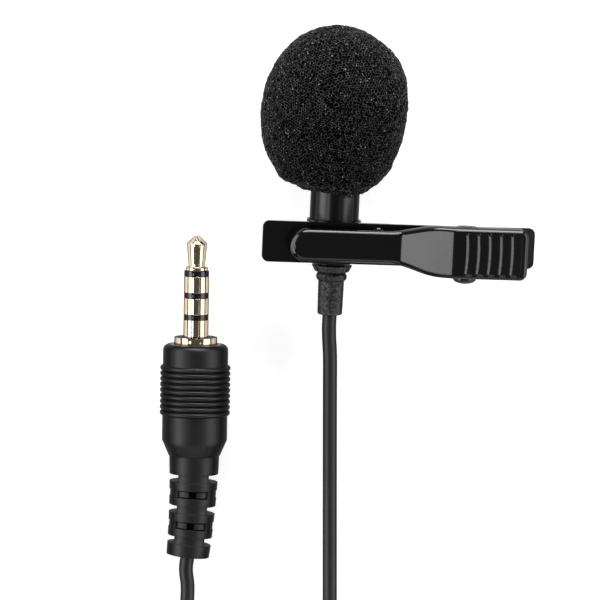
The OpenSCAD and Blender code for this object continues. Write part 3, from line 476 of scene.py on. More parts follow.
def grow_tree(name, sizes):
    """A Geometry Nodes tree with a named input for each size, and the outputs of its input node."""
    tree = bpy.data.node_groups.new(name, "GeometryNodeTree")
    face = tree.interface
    face.new_socket("Geometry", in_out="INPUT", socket_type="NodeSocketGeometry")
    kinds = {int: "NodeSocketInt", float: "NodeSocketFloat"}
    for label, value in sizes.items():
        kind = kinds.get(type(value), "NodeSocketMaterial")
        face.new_socket(label, in_out="INPUT", socket_type=kind)
    face.new_socket("Geometry", in_out="OUTPUT", socket_type="NodeSocketGeometry")
    return tree, add(tree, "NodeGroupInput").outputs


def end_tree(tree, geometry, finish):
    """Ends a tree: instances made real, and the material set."""
    real = add(tree, "GeometryNodeRealizeInstances", {0: geometry})
    last = add(tree, "GeometryNodeSetMaterial", {"Geometry": real, "Material": finish})
    add(tree, "NodeGroupOutput", {0: last})


def grown(piece, tree, sizes):
    """Runs a tree on a piece with those sizes and keeps what it makes as a plain mesh."""
    modifier = piece.modifiers.new(tree.name, "NODES")
    modifier.node_group = tree
    for item in tree.interface.items_tree:
        if item.in_out == "INPUT" and item.name in sizes:
            modifier[item.identifier] = sizes[item.name]
    return baked(piece)


# Stage

PAPER_HALF = 1.5
PAPER_UNDER = 0.02 * MM
# The eye, and what mirrors the paper, see it lighter by this than its lamps make it
PAPER_GLOW = 0.72
# Width and height of the paper's fibre, in millimetres
FIBRE, FIBRE_RELIEF = 0.8, 0.02
# Strength of the studio's air at the horizon and overhead, and between which heights it changes
HORIZON, CEILING = 0.12, 0.1
AIR_RISE = (0.02, 0.5)
LAMP_AWAY = 1.6
# Each lamp: its name, degrees round from +X, degrees up, width and height, and radiance
LAMPS = (
    ("left_softbox", 180, 30, (2.4, 0.86), 3.6),
    ("left_card", -160, 57, (0.26, 0.26), 4.7),
    ("right_softbox", 0, 27, (2.2, 1.1), 2.4),
    ("right_card", -31, 60, (0.22, 0.18), 1.0),
    ("top_strip", 75, 44, (1.1, 0.3), 8.0),
    ("back_softbox", 86, 19, (1.4, 0.6), 12.0),
    ("front_softbox", -85, 32, (1.8, 1.1), 0.9),
)


def paper_finish(shade):
    """Seamless studio paper, matt and uncoated: a plain white ground with a faint fibre."""
    made, tree = material("seamless_paper")
    place = add(tree, "ShaderNodeTexCoord").outputs["Object"]
    fibre = {"Vector": place, "Scale": per_mm(FIBRE), "Detail": 4.0}
    fibre = add(tree, "ShaderNodeTexNoise", fibre).outputs["Fac"]
    bump = {"Height": fibre, "Distance": FIBRE_RELIEF * MM, "Strength": 0.4}
    bump = add(tree, "ShaderNodeBump", bump)
    matt = {"Color": shade, "Roughness": 0.8, "Normal": bump}
    shader = add(tree, "ShaderNodeBsdfDiffuse", matt)
    seen = add(tree, "ShaderNodeLightPath").outputs
    eye = seen["Is Camera Ray"]
    for ray in ("Is Glossy Ray", "Is Transmission Ray"):
        eye = add(tree, "ShaderNodeMath", {0: eye, 1: seen[ray]}, operation="MAXIMUM")
    lift = add(tree, "ShaderNodeMath", {0: eye, 1: PAPER_GLOW}, operation="MULTIPLY")
    glow = add(tree, "ShaderNodeEmission", {"Strength": lift})
    both = add(tree, "ShaderNodeAddShader", {0: shader, 1: glow})
    add(tree, "ShaderNodeOutputMaterial", {"Surface": both})
    return made


def studio_world():
    """A world that is pale at the horizon and dims to the dark ceiling of a studio."""
    world = bpy.data.worlds.new("studio")
    world.use_nodes = True
    tree = world.node_tree
    tree.nodes.clear()
    way = add(tree, "ShaderNodeTexCoord").outputs["Generated"]
    rise = add(tree, "ShaderNodeSeparateXYZ", {0: way}).outputs["Z"]
    level = add(
        tree,
        "ShaderNodeMapRange",
        {0: rise, 1: AIR_RISE[0], 2: AIR_RISE[1], 3: HORIZON, 4: CEILING},
        **EASED,
    )
    sky = add(tree, "ShaderNodeBackground", {"Color": (1, 1, 1, 1), "Strength": level})
    add(tree, "ShaderNodeOutputWorld", {"Surface": sky})
    bpy.context.scene.world = world


def softbox(name, azimuth, rise, size, radiance):
    """A soft lamp that faces the object, as a row of LAMPS gives it."""
    lamp = bpy.data.lights.new(name, "AREA")
    lamp.shape = "RECTANGLE"
    lamp.size, lamp.size_y = size
    lamp.energy = radiance * math.pi * size[0] * size[1]
    made = keep(name, lamp)
    turn, lift = math.radians(azimuth), math.radians(rise)
    flat = math.cos(lift)
    way = Vector((math.cos(turn) * flat, math.sin(turn) * flat, math.sin(lift)))
    made.location = way * LAMP_AWAY
    made.rotation_euler = way.to_track_quat("Z", "Y").to_euler()
    made.visible_camera = False


class LAVALIER_OT_stage(bpy.types.Operator):
    """Makes the paper, the lamps and the camera"""

    bl_idname = "lavalier.stage"
    bl_label = "Stage"

    def execute(self, context):
        settings = context.scene.lavalier.stage
        under = CAD_BOX[0].z - PAPER_UNDER
        sides = [(-1, -1), (1, -1), (1, 1), (-1, 1)]
        corners = [(x * PAPER_HALF, y * PAPER_HALF, under) for x, y in sides]
        floor = from_parts("paper", corners, [(0, 1, 2, 3)])
        dress(floor, paper_finish(settings.paper))
        studio_world()
        for lamp in LAMPS:
            softbox(*lamp)
        lens = bpy.data.cameras.new("camera")
        lens.lens = lens.sensor_width * settings.camera_height / settings.view_width
        camera = keep("camera", lens)
        camera.location = (settings.view_x, settings.view_y, settings.camera_height)
        context.scene.camera = camera
        context.scene.view_settings.view_transform = "Standard"
        return {"FINISHED"}


# Cord

CORD_RADIUS = 1.0
# Route from the microphone's strain relief to the coil, in millimetres on the floor
MICROPHONE_LEAD = [
    (-9.5, -26, 5.5), (-9.5, -30, 4.8), (-9.5, -34, 3.9), (-9.5, -38, 3), (-9.5, -42, 2.2),
    (-9.5, -46, 1.6), (-9.5, -50, 1.2), (-9.5, -55, 1), (-9.5, -60, 1), (-9.5, -65, 1),
    (-9.5, -68, 1), (-9.5, -70, 1), (-9.3, -72.3, 1), (-8.6, -74.4, 1),
]
# Route from the plug's strain relief to the coil
PLUG_LEAD = [
    (-29.44, -58, 2.7), (-29.48, -60.5, 2.8), (-29.45, -63, 3.3), (-29.4, -65.5, 4.2),
    (-29.3, -68, 5.4), (-29.3, -70.3, 6.7), (-29.5, -72.3, 7.6), (-30.2, -74.4, 8.2),
]
COIL_CENTRE = Vector((-19.4, -90, 0))
COIL_RADIUS = 17.7
COIL_PITCH = 2.45
COIL_LAYERS = 4
COIL_ENTRY = 36
COIL_TURNS = 18.7
COIL_STEPS = 24
# Strain relief of the plug: it starts behind the grip and bends by an angle over its length
PLUG_RELIEF_START = -16.6
PLUG_RELIEF_LENGTH = 14.15
# Its thickness where it starts and where it ends
PLUG_RELIEF_WIDE, PLUG_RELIEF_SLIM = 7.0, 6.0
PLUG_RELIEF_BEND = math.radians(6)


def coil_point(turn):
    """Middle of the cord after so many turns: layer on layer, out and in by turns."""
    layer = COIL_TURNS / COIL_LAYERS
    swing = abs(turn / layer - 2 * math.floor(turn / layer / 2 + 0.5))
    radius = COIL_RADIUS - COIL_PITCH * layer * swing
    rise = 0
    for crossing in range(1, COIL_LAYERS):
        step = min(max(2 * (turn - crossing * layer) + 0.5, 0), 1)
        rise += step * step * (3 - 2 * step)
    angle = math.radians(COIL_ENTRY - 360 * turn)
    flat = Vector((math.cos(angle), math.sin(angle), 0)) * radius
    return COIL_CENTRE + flat + UP * (CORD_RADIUS + COIL_PITCH * rise)


def cord_route():
    """The cord's middle from the microphone through its coil to the plug, in millimetres."""
    step = 2 * CORD_RADIUS
    start = (ON_HEAD @ Vector((0, 0, RELIEF_END))) / MM
    back = (ON_HEAD @ Vector((0, 0, RELIEF_END - step))) / MM
    bend = PLUG_RELIEF_LENGTH / PLUG_RELIEF_BEND
    sine, cosine = math.sin(PLUG_RELIEF_BEND), math.cos(PLUG_RELIEF_BEND)
    tail = Vector((-bend * (1 - cosine), 0, PLUG_RELIEF_START - bend * sine))
    end = (ON_PLUG @ tail) / MM
    before_end = (ON_PLUG @ (tail + step * Vector((-sine, 0, -cosine)))) / MM
    entry = math.radians(COIL_ENTRY)
    way_in = Vector((math.sin(entry), -math.cos(entry), 0))
    way_out = Vector((math.sin(entry), math.cos(entry), 0))
    count = round(COIL_TURNS * COIL_STEPS)
    coil = [coil_point(COIL_TURNS * i / count) for i in range(count + 1)]
    into, out = coil[0] - step * way_in, coil[-1] + step * way_out
    route = [start, back, *MICROPHONE_LEAD, into - step * way_in, into, *coil]
    return [*route, out, out + step * way_out, *reversed(PLUG_LEAD), before_end, end]


class LAVALIER_OT_cord(bpy.types.Operator):
    """Lays the cord from the microphone through its coil to the plug"""

    bl_idname = "lavalier.cord"
    bl_label = "Cord"

    def execute(self, context):
        settings = context.scene.lavalier.cord
        # PVC cord jacket, extruded smooth: a soft satin line along it, a little uneven
        jacket = skin_of(
            "extruded_pvc_jacket",
            settings.jacket,
            ripples=(0.25, 3.0),
            haze=(2.5, 2.0),
            roughness=(0.36, 0.52),
            relief=0.008,
            ior=1.53,
            shaded=(0.42, 0.22, 0.5),
        )
        curve = bpy.data.curves.new("cord", "CURVE")
        curve.dimensions = "3D"
        curve.bevel_depth = settings.diameter / 2
        curve.bevel_resolution = 6
        curve.use_fill_caps = True
        curve.resolution_u = 6
        route = cord_route()
        spline = curve.splines.new("BEZIER")
        spline.bezier_points.add(len(route) - 1)
        for knot, point in zip(spline.bezier_points, route):
            knot.co = Vector(point) * MM
            knot.handle_left_type = knot.handle_right_type = "AUTO"
        cord = dress(keep("cord", curve), jacket)
        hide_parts("cord_mic_lead", "cord_coil", "cord_plug_lead")
        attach(cord, "microphone")
        return {"FINISHED"}


# Windscreen

# A few struts get painted glints, highlights painted into their colour: their colour, a glint's width,
# and the chance over which a strut has one, on the foam and on the cut rim of its mouth
PAINTED_GLINT = "#b8b8ba"
GLINT_WIDTH = 0.3
PAINTED_GLINT_CHANCES = (0.86, 0.5)
# A glint fades between these distances from its middle, in glints
PAINTED_GLINT_FADE = (0.4, 0.2)
# Gloss of the brightest struts
STRUT_GLOSS = 0.2
# A noise between these two values takes the struts from this brightness to full
STRUT_NOISE = (0.42, 0.68)
STRUT_DIM = 0.05
# The finer cells are this many times finer than the others
FINER = 1.9
# A hollow begins this far from the wall between two cells and is deep here: shares of a cell
HOLLOW_START = 0.03
HOLLOW_DEEP = (0.26, 0.3)
# Shares of the coarse and the finer cells in the depth
COARSE_SHARE, FINE_SHARE = 1.5, 0.35
# The skin with its cells lies this far under the struts. Where its hollows are shallower than
# these two shares it is painted brighter, to this: the deeper hollows get painted shade
SKIN_UNDER = 0.1 * MM
SKIN_SHALLOW = (0.5, 0.05)
SKIN_UNSHADED = 0.02
# Net of struts: the ball that it is cast from, how often that is divided, and its jitter
NET_BALL = 14 * MM
NET_DIVIDED = 6
NET_JITTER = 0.42 * MM
# Rays that go further than this have come in by the mouth
NET_FAR = 6 * MM
# Its points lie between these heights over the surface, and nearer ones than this are one
NET_LOW, NET_HIGH = -0.16 * MM, 0.12 * MM
NET_MERGE = 0.23 * MM
# How squarely the rim of the mouth faces back, where more struts get painted glints
RIM_FACING = (0.5, 0.9)


def foam_finish(painted_cell_shade, light):
    """Reticulated polyether foam, dyed black: grey struts over open cells painted near black as shade, with
    painted glints.
    """
    made, tree = material("open_cell_foam")
    strut = add(tree, "ShaderNodeAttribute", attribute_name="strut").outputs["Fac"]
    mouth = add(tree, "ShaderNodeAttribute", attribute_name="mouth").outputs["Fac"]
    place = add(tree, "ShaderNodeTexCoord").outputs["Object"]
    # The skin in the cells takes the near-black painted shade, the struts their own grey
    tint = add(tree, "ShaderNodeMix", {0: strut, 6: painted_cell_shade, 7: light}, data_type="RGBA")
    # Painted glints: a few struts are painted pale where light would catch them, as painted highlights
    speck = add(tree, "ShaderNodeTexVoronoi", {"Vector": place, "Scale": per_mm(GLINT_WIDTH)})
    chance = add(tree, "ShaderNodeSeparateColor", {0: speck.outputs["Color"]}).outputs["Red"]
    rare = {0: mouth, 3: PAINTED_GLINT_CHANCES[0], 4: PAINTED_GLINT_CHANCES[1]}
    rare = add(tree, "ShaderNodeMapRange", rare)
    picked = add(tree, "ShaderNodeMapRange", {0: chance, 1: rare, 2: 1.0})
    near = {0: speck.outputs["Distance"], 1: PAINTED_GLINT_FADE[0], 2: PAINTED_GLINT_FADE[1]}
    near = add(tree, "ShaderNodeMapRange", near, **EASED)
    lit = add(tree, "ShaderNodeMath", {0: picked, 1: near}, operation="MULTIPLY")
    tint = {0: lit, 6: tint.outputs[2], 7: linear(PAINTED_GLINT)}
    tint = add(tree, "ShaderNodeMix", tint, data_type="RGBA").outputs[2]
    # Only the struts are glossy: the cells between them swallow the light
    gloss = add(tree, "ShaderNodeMath", {0: strut, 1: STRUT_GLOSS}, operation="MULTIPLY")
    dyed = {"Base Color": tint, "Roughness": 0.4, "IOR": 1.5, "Specular IOR Level": gloss}
    shader = add(tree, "ShaderNodeBsdfPrincipled", dyed)
    add(tree, "ShaderNodeOutputMaterial", {"Surface": shader})
    return made


def open_cells(tree, given, place):
    """Depth of the hollows of both sizes at each point, and how bright the skin is painted there: darker in
    the deep hollows, a painted shade.
    """
    moved = add(tree, "ShaderNodeVectorMath", {0: place, 1: given["Seed"]}, operation="ADD")
    scale = add(tree, "ShaderNodeMath", {0: 1.0, 1: given["Cell size"]}, operation="DIVIDE")
    finer = add(tree, "ShaderNodeMath", {0: scale, 1: FINER}, operation="MULTIPLY")
    hollows = []
    for size, deep in zip((scale, finer), HOLLOW_DEEP):
        wall = {"Vector": moved, "Scale": size}
        wall = add(tree, "ShaderNodeTexVoronoi", wall, feature="DISTANCE_TO_EDGE")
        hollow = {0: wall.outputs["Distance"], 1: HOLLOW_START, 2: deep}
        hollows.append(add(tree, "ShaderNodeMapRange", hollow, **EASED))
    uneven = add(tree, "ShaderNodeTexNoise", {"Vector": moved, "Scale": scale}).outputs["Fac"]
    coarse = add(tree, "ShaderNodeMath", {0: hollows[0], 1: uneven}, operation="MULTIPLY")
    coarse = add(tree, "ShaderNodeMath", {0: coarse, 1: COARSE_SHARE}, operation="MULTIPLY")
    depth = {0: hollows[1], 1: FINE_SHARE, 2: coarse}
    depth = add(tree, "ShaderNodeMath", depth, operation="MULTIPLY_ADD")
    painted_skin_shade = {0: depth, 1: SKIN_SHALLOW[0], 2: SKIN_SHALLOW[1], 4: SKIN_UNSHADED}
    return depth, add(tree, "ShaderNodeMapRange", painted_skin_shade, **EASED)


def strut_net(tree, given, place):
    """Single struts: rods along a net that a jittered ball casts onto the foam."""
    box = add(tree, "GeometryNodeBoundBox", {0: given["Geometry"]}).outputs
    middle = add(tree, "ShaderNodeVectorMath", {0: box["Min"], 1: box["Max"]}, operation="ADD")
    middle = add(tree, "ShaderNodeVectorMath", {0: middle, "Scale": 0.5}, operation="SCALE")
    ball = {"Radius": NET_BALL, "Subdivisions": NET_DIVIDED}
    ball = add(tree, "GeometryNodeMeshIcoSphere", ball).outputs["Mesh"]
    jitter = {"Vector": place, "W": given["Seed"]}
    jitter = add(tree, "ShaderNodeTexWhiteNoise", jitter, noise_dimensions="4D").outputs["Color"]
    jitter = add(tree, "ShaderNodeVectorMath", {0: jitter, 1: MIDDLE}, operation="SUBTRACT")
    jitter = {0: jitter, "Scale": NET_JITTER}
    jitter = add(tree, "ShaderNodeVectorMath", jitter, operation="SCALE")
    start = add(tree, "ShaderNodeVectorMath", {0: jitter, 1: middle}, operation="ADD")
    ball = add(tree, "GeometryNodeSetPosition", {"Geometry": ball, "Offset": start})
    inwards = add(tree, "ShaderNodeVectorMath", {0: middle, 1: place}, operation="SUBTRACT")
    ray = {
        "Target Geometry": given["Geometry"],
        "Source Position": place,
        "Ray Direction": inwards,
        "Ray Length": NET_BALL,
    }
    cast = add(tree, "GeometryNodeRaycast", ray).outputs
    # Points are lost whose rays miss the foam, or come in by its mouth
    lost = {0: cast["Hit Distance"], 1: NET_FAR}
    lost = add(tree, "ShaderNodeMath", lost, operation="GREATER_THAN")
    lost = add(tree, "ShaderNodeMath", {0: lost, 1: cast["Is Hit"]}, operation="SUBTRACT")
    lost = add(tree, "ShaderNodeMath", {0: lost, 1: -0.5}, operation="GREATER_THAN")
    height = add(tree, "ShaderNodeTexWhiteNoise", {"Vector": place}).outputs["Value"]
    height = add(tree, "ShaderNodeMath", {0: height, 1: 4.0}, operation="POWER")
    height = add(tree, "ShaderNodeMapRange", {0: height, 3: NET_LOW, 4: NET_HIGH})
    raised = {0: cast["Hit Normal"], "Scale": height}
    raised = add(tree, "ShaderNodeVectorMath", raised, operation="SCALE")
    target = {0: cast["Hit Position"], 1: raised}
    target = add(tree, "ShaderNodeVectorMath", target, operation="ADD")
    # The rim round the mouth, where it faces back, gets more painted glints
    rim = {0: cast["Hit Normal"], 1: (0, -1, 0)}
    rim = add(tree, "ShaderNodeVectorMath", rim, operation="DOT_PRODUCT").outputs["Value"]
    rim = {0: rim, 1: RIM_FACING[0], 2: RIM_FACING[1]}
    rim = add(tree, "ShaderNodeMapRange", rim, **EASED)
    # Both are told at the points' first places, before the net is cast
    for name, value in (("mouth", rim), ("lost", lost)):
        told = {"Geometry": ball, "Name": name, "Value": value}
        ball = add(tree, "GeometryNodeStoreNamedAttribute", told, **ON_POINTS)
    net = add(tree, "GeometryNodeSetPosition", {"Geometry": ball, "Position": target})
    gone = add(tree, "GeometryNodeInputNamedAttribute", {"Name": "lost"}, data_type="FLOAT")
    gone = add(tree, "ShaderNodeMath", {0: gone, 1: 0.5}, operation="GREATER_THAN")
    net = add(tree, "GeometryNodeDeleteGeometry", {"Geometry": net, "Selection": gone})
    net = {"Geometry": net, "Distance": NET_MERGE}
    net = add(tree, "GeometryNodeMergeByDistance", net)
    net = add(tree, "GeometryNodeDualMesh", {"Mesh": net})
    net = add(tree, "GeometryNodeMeshToCurve", {"Mesh": net})
    rod = {"Resolution": 3, "Radius": given["Strut radius"]}
    rod = add(tree, "GeometryNodeCurvePrimitiveCircle", rod).outputs["Curve"]
    rods = {"Curve": net, "Profile Curve": rod, "Fill Caps": True}
    rods = add(tree, "GeometryNodeCurveToMesh", rods)
    lights = {"Vector": place, "Scale": per_mm(GLINT_WIDTH)}
    lights = add(tree, "ShaderNodeTexNoise", lights).outputs["Fac"]
    lights = {0: lights, 1: STRUT_NOISE[0], 2: STRUT_NOISE[1], 3: STRUT_DIM}
    lights = add(tree, "ShaderNodeMapRange", lights)
    marked = {"Geometry": rods, "Name": "strut", "Value": lights}
    return add(tree, "GeometryNodeStoreNamedAttribute", marked, **ON_POINTS)


def foam_cells(sizes):
    """Tree that cuts open cells of two sizes into the foam and lays a net of struts over them."""
    tree, given = grow_tree("Foam cells", sizes)
    place = add(tree, "GeometryNodeInputPosition")
    depth, painted_skin_shade = open_cells(tree, given, place)
    # The skin's painted shade, darker in the deep hollows, is kept as its strut brightness
    marked = {"Geometry": given["Geometry"], "Name": "strut", "Value": painted_skin_shade}
    marked = add(tree, "GeometryNodeStoreNamedAttribute", marked, **ON_POINTS)
    down = {0: depth, 1: given["Cell depth"]}
    down = add(tree, "ShaderNodeMath", down, operation="MULTIPLY")
    down = {0: down, 1: -1.0, 2: -SKIN_UNDER}
    down = add(tree, "ShaderNodeMath", down, operation="MULTIPLY_ADD")
    normal = add(tree, "GeometryNodeInputNormal")
    offset = add(tree, "ShaderNodeVectorMath", {0: normal, "Scale": down}, operation="SCALE")
    shaped = add(tree, "GeometryNodeSetPosition", {"Geometry": marked, "Offset": offset})
    whole = add(tree, "GeometryNodeJoinGeometry")
    for part in (shaped, strut_net(tree, given, place)):
        tree.links.new(part.outputs[0], whole.inputs[0])
    end_tree(tree, whole, given["Foam"])
    return tree


# How the foam sits: place along the head, way to the side, growth to the sides, and share of its
# girth past the housing that is left where its mouth hugs it
FOAM_SEAT = (
    (6.8, 0.1, 0, 0.43), (7.4, 0, 0, 0.65), (8, -0.2, 0.1, 1.05), (8.5, -0.3, 0.1, 1.08),
    (9.6, -0.2, 0.2, 1.03), (12, -0.35, 0.25, 1), (17, -0.23, 0.06, 1), (20, -0.05, 0, 1),
    (24, 0.2, 0.12, 1), (26, 0.25, 0.12, 1), (29, 0.05, -0.05, 1),
)
# Inside this radius it stays on the housing, and this far past it, it moves freely
HUGGED = 3.5
FREE_AFTER = 3
# The mouth hangs down by this much on its right, from this height on and over this height
MOUTH_SAG = 0.5
MOUTH_TOP = 10.5
MOUTH_HEIGHT = 3
SAG_ASIDE, SAG_SPREAD = 1.8, 4
# Its crown is pressed in by this much over this height, from this height on
CROWN_PRESS = 0.25
CROWN_HEIGHT = 12
CROWN_FOOT = 18
# Under this height over the floor it keeps this share of its depth
FOAM_REST = 0.2 * MM
FLATTENED = 0.2


def eased(at, table):
    """Values of a table at a place, with smooth steps from row to row."""
    if at <= table[0][0]:
        return table[0][1:]
    for low, high in zip(table, table[1:]):
        if at < high[0]:
            part = (at - low[0]) / (high[0] - low[0])
            part = part * part * (3 - 2 * part)
            return tuple(a + (b - a) * part for a, b in zip(low[1:], high[1:]))
    return table[-1][1:]


def seat_foam(piece):
    """Shifts and swells the foam a little, as it sits when a hand has pulled it on."""
    into = ON_HEAD.inverted()
    for vertex in piece.data.vertices:
        at = into @ vertex.co
        aside, wider, hug = eased(at.z, FOAM_SEAT)
        far = math.hypot(at.x, at.y)
        if far > HUGGED:
            hold = min((far - HUGGED) / FREE_AFTER, 1)
            drawn = (HUGGED + (far - HUGGED) * hug) / far
            at.x = at.x * drawn * (1 + wider * hold / far) + aside * hold
            at.y = at.y * drawn
        sag = min(max((MOUTH_TOP - at.z) / MOUTH_HEIGHT, 0), 1)
        at.z -= MOUTH_SAG * sag * sag * math.exp(-((at.x - SAG_ASIDE) ** 2) / SAG_SPREAD)
        at.z -= CROWN_PRESS * (max(at.z - CROWN_FOOT, 0) / CROWN_HEIGHT) ** 2
        vertex.co = ON_HEAD @ at
        # It lies flat where it touches the floor
        if vertex.co.z < FOAM_REST:
            vertex.co.z = FOAM_REST - (FOAM_REST - vertex.co.z) * FLATTENED


class LAVALIER_OT_windscreen(bpy.types.Operator):
    """Makes the foam windscreen with its open cells"""

    bl_idname = "lavalier.windscreen"
    bl_label = "Foam windscreen"

    def execute(self, context):
        settings = context.scene.lavalier.foam
        foam = copied("windscreen", "foam_windscreen")
        even = foam.modifiers.new("Even faces", "REMESH")
        even.mode, even.voxel_size = "VOXEL", settings.fineness
        rounder = foam.modifiers.new("Rounder", "SMOOTH")
        rounder.factor, rounder.iterations = 0.8, 25
        seat_foam(baked(foam))
        sizes = {
            "Cell size": settings.cell,
            "Cell depth": settings.depth,
            "Strut radius": settings.strut / 2,
            "Seed": settings.seed,
            "Foam": foam_finish(settings.painted_cell_shade, settings.light),
        }
        grown(foam, foam_cells(sizes), sizes)
        foam.data.shade_smooth()
        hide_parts("windscreen")
        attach(foam, "windscreen_body")
        return {"FINISHED"}


# Head

# Finishes of what the head holds: name, colour, how many times lighter it drifts to, roughness,
# grain and relief, other values, and the pieces that have it
INNER_FINISHES = (
    # Drawn aluminium, as pressed: bright, faintly clouded
    ("drawn_aluminium", "#b4b5b8", 1.18, (0.28, 0.4), 0.2, 0.004, {"metallic": 1.0},
     ["capsule_can"]),
    # Stainless steel sheet, punched: grey, with a fine rolled grain
    ("punched_stainless_steel", "#8f9092", 1.32, (0.25, 0.4), 0.1, 0.003, {"metallic": 1.0},
     ["front_grille"]),
    # Needled polyester felt: black and quite without gloss
    ("black_felt", "#0c0c0c", 3.41, (0.9, 1.0), 0.06, 0.03, {"level": 0.1}, ["dust_felt"]),
    # Metallised polyester film on a brass ring: pale gold and glossy
    ("metallised_film", "#c9b87c", 1.24, (0.12, 0.2), 0.4, 0.002, {"metallic": 1.0},
     ["diaphragm"]),
    # Polyoxymethylene, moulded: white, waxy and half matt
    ("white_acetal", "#dedcd4", 1.11, (0.35, 0.45), 0.3, 0.004, {},
     ["spacer_ring", "insulating_cup"]),
    # Brass plate, gold flashed: yellow and bright
    ("gilt_back_plate", "#c8a95c", 1.35, (0.2, 0.3), 0.2, 0.003, {"metallic": 1.0},
     ["backplate"]),
    # Epoxy chip package, transfer moulded: black and matt
    ("epoxy_package", "#101011", 1.54, (0.55, 0.7), 0.08, 0.004, {}, ["transistor"]),
    # Glass epoxy board under green solder resist: glossy, with the weave just showing
    ("green_solder_resist", "#14522c", 1.52, (0.2, 0.3), 0.35, 0.004, {}, ["circuit_board"]),
    # PVC-insulated wire: red and softly glossy
    ("insulated_wire", "#8e2a22", 1.41, (0.35, 0.45), 0.2, 0.004, {}, ["mic_conductors"]),
)


class LAVALIER_OT_head(bpy.types.Operator):
    """Finishes the housing, its strain relief and the capsule inside"""

    bl_idname = "lavalier.head"
    bl_label = "Microphone head"

    def execute(self, context):
        settings = context.scene.lavalier.head
        # Aluminium tube, turned and anodised black: satin, with a soft streak of light on each side
        tube = finish_of(
            "black_anodised_tube",
            settings.tube,
            1.32,
            roughness=(0.23, 0.29),
            grain=0.15,
            relief=0.003,
            level=0.48,
            shaded=(0.21, 0.43),
        )
        dress_node(tube, "capsule_housing", "rear_cap")
        # Thermoplastic rubber, moulded in a spark-eroded tool: matt, with a fine even grain
        rubber = finish_of(
            "moulded_black_rubber",
            settings.rubber,
            1.68,
            roughness=(0.3, 0.5),
            grain=0.2,
            relief=0.0,
            shaded=(0.25, 0.55),
            tilt=0.7,
        )
        relief = softened("mic_strain_relief", "strain_relief", settings.edge)
        dress(relief, rubber)
        dress_node(rubber, "capsule_gasket", "mic_cable_end")
        for name, code, drift, roughness, grain, height, others, nodes in INNER_FINISHES:
            finish = finish_of(name, linear(code), drift, roughness, grain, height, **others)
            dress_node(finish, *nodes)
        return {"FINISHED"}


# Clip

# Heights of the back jaw's face and of the front jaw's arm and thumb pad, in the clip's frame
BACK_FACE = 4.375
ARM_FACE = 8.675
PAD_FACE = 11.575
# Half the width of the arm, and of the thumb pad to its left and right
ARM_HALF = 2.175
PAD_HALVES = (3.275, 3.55)
# Places along the jaw: its tip, where it begins to rise, where it is wide, the pad's start and end
TIP_X = -6.8
RISE_X = 8.1
WIDEN_X = 12.5
PAD_X = 15.5
PAD_END = 25.6
# Radii of the corners of the tip, left and right, and of the pad's end
TIP_CORNERS = (2.45, 1.9)
PAD_CORNER = 1.0
# The bends where the jaw rises, and where it widens, are rounded this far to each side
RISE_EASE = 0.25
WIDEN_EASE = 1.5
# Thickness of the sheet, and width of its rolled edge where that is whole
SHEET = 0.5
JAW_EDGE = 1.1
# The rolled edge leans this many degrees where it meets the wall, with a small corner there, and
# bends towards the face by this power of the way
EDGE_TILT = 44
EDGE_CORNER = 0.06
EDGE_BEND = 1.5
# Shares of the rolled edge's width: along both sides of the arm, at its tip, at the pad's end
SIDE_EDGE = 0.36
LOWER_EDGE = 0.6
TIP_EDGE = 0.8
END_EDGE = 0.5
# Steps up the rolled edge and across the face, outside and inside the sheet
OUTER_STEPS, OUTER_ACROSS = 10, 24
INNER_STEPS, INNER_ACROSS = 3, 2
# Points along its outline: round the tip, along bite, arm, rise and pad, and round the corner
OUTLINE_POINTS = (20, 8, 20, 40, 150, 10)
# Its slope is taken over this distance to each side, and the bite's foot ends over this distance
NEARBY = 0.01
# Heights of the walls along the arm and along the pad
ARM_WALL = 2.3
PAD_WALL = 3.4
# The bite: gap to the back jaw, length, and depth and pitch of the teeth
BITE_GAP = 0.05
BITE_LENGTH = 2.5
TOOTH = 0.5
TOOTH_PITCH = BITE_LENGTH / 3.5
# Radius of the ears round the hinge pin
EAR_RADIUS = 1.5
# The pin's domed head, from here down, stands out by this much more
PIN_HEAD_FROM = -3.5
PIN_HEAD_OUT = 0.35
# The first rib lies this far behind the start of the pad
FIRST_RIB = 1.5
# Where a rib's riser ends and where its fall begins and ends, in shares of the pitch
RIB_RISER = 0.22
RIB_FALL = (0.96, 0.24)
# The ribs end this far from the pad's sides, and fade over this width
RIB_END = 0.43
RIB_FADE = 0.16
# They are raised on the face down to this far below it
RIB_UNDER = 0.3
# The holder's band is rounded this many times more than the jaws' sheet
BAND_EDGE = 1.4
# The spring's turns lie within this distance of its middle, and its legs beyond it
SPRING_HALF = 1.2


def ramp(x, start, end, ease):
    """From 0 at start to 1 at end, straight, with both bends rounded over the ease to each side."""

    def bend(u):
        return max(u, 0) if abs(u) > ease else (u + ease) ** 2 / (4 * ease)

    return (bend(x - start) - bend(x - end)) / (end - start)


def jaw_top(x):
    """Height of the front jaw's face."""
    return ARM_FACE + (PAD_FACE - ARM_FACE) * ramp(x, RISE_X, PAD_X, RISE_EASE)


def jaw_half(x, pad_half):
    """Half the width of the front jaw."""
    return ARM_HALF + (pad_half - ARM_HALF) * ramp(x, RISE_X, WIDEN_X, WIDEN_EASE)


def jaw_foot(x):
    """Height of the lower edge of the front jaw's walls: teeth, arm, rise, ears and pad."""
    if x < TIP_X + BITE_LENGTH:
        bite = BACK_FACE + BITE_GAP
        apart = [abs(x - TIP_X - i * TOOTH_PITCH) for i in (1, 2, 3)]
        return bite + max(TOOTH - 2 * min(apart), 0)
    if abs(x - PIVOT_X) < EAR_RADIUS:
        return PIVOT_Z - math.sqrt(EAR_RADIUS**2 - (x - PIVOT_X) ** 2)
    arm, pad = ARM_FACE - ARM_WALL, PAD_FACE - PAD_WALL
    return arm + (pad - arm) * min(max((x - RISE_X) / (PAD_X - RISE_X), 0), 1)


def spread(start, end, count):
    """Numbers from start up to, but without, end."""
    return [start + (end - start) * i / count for i in range(count)]


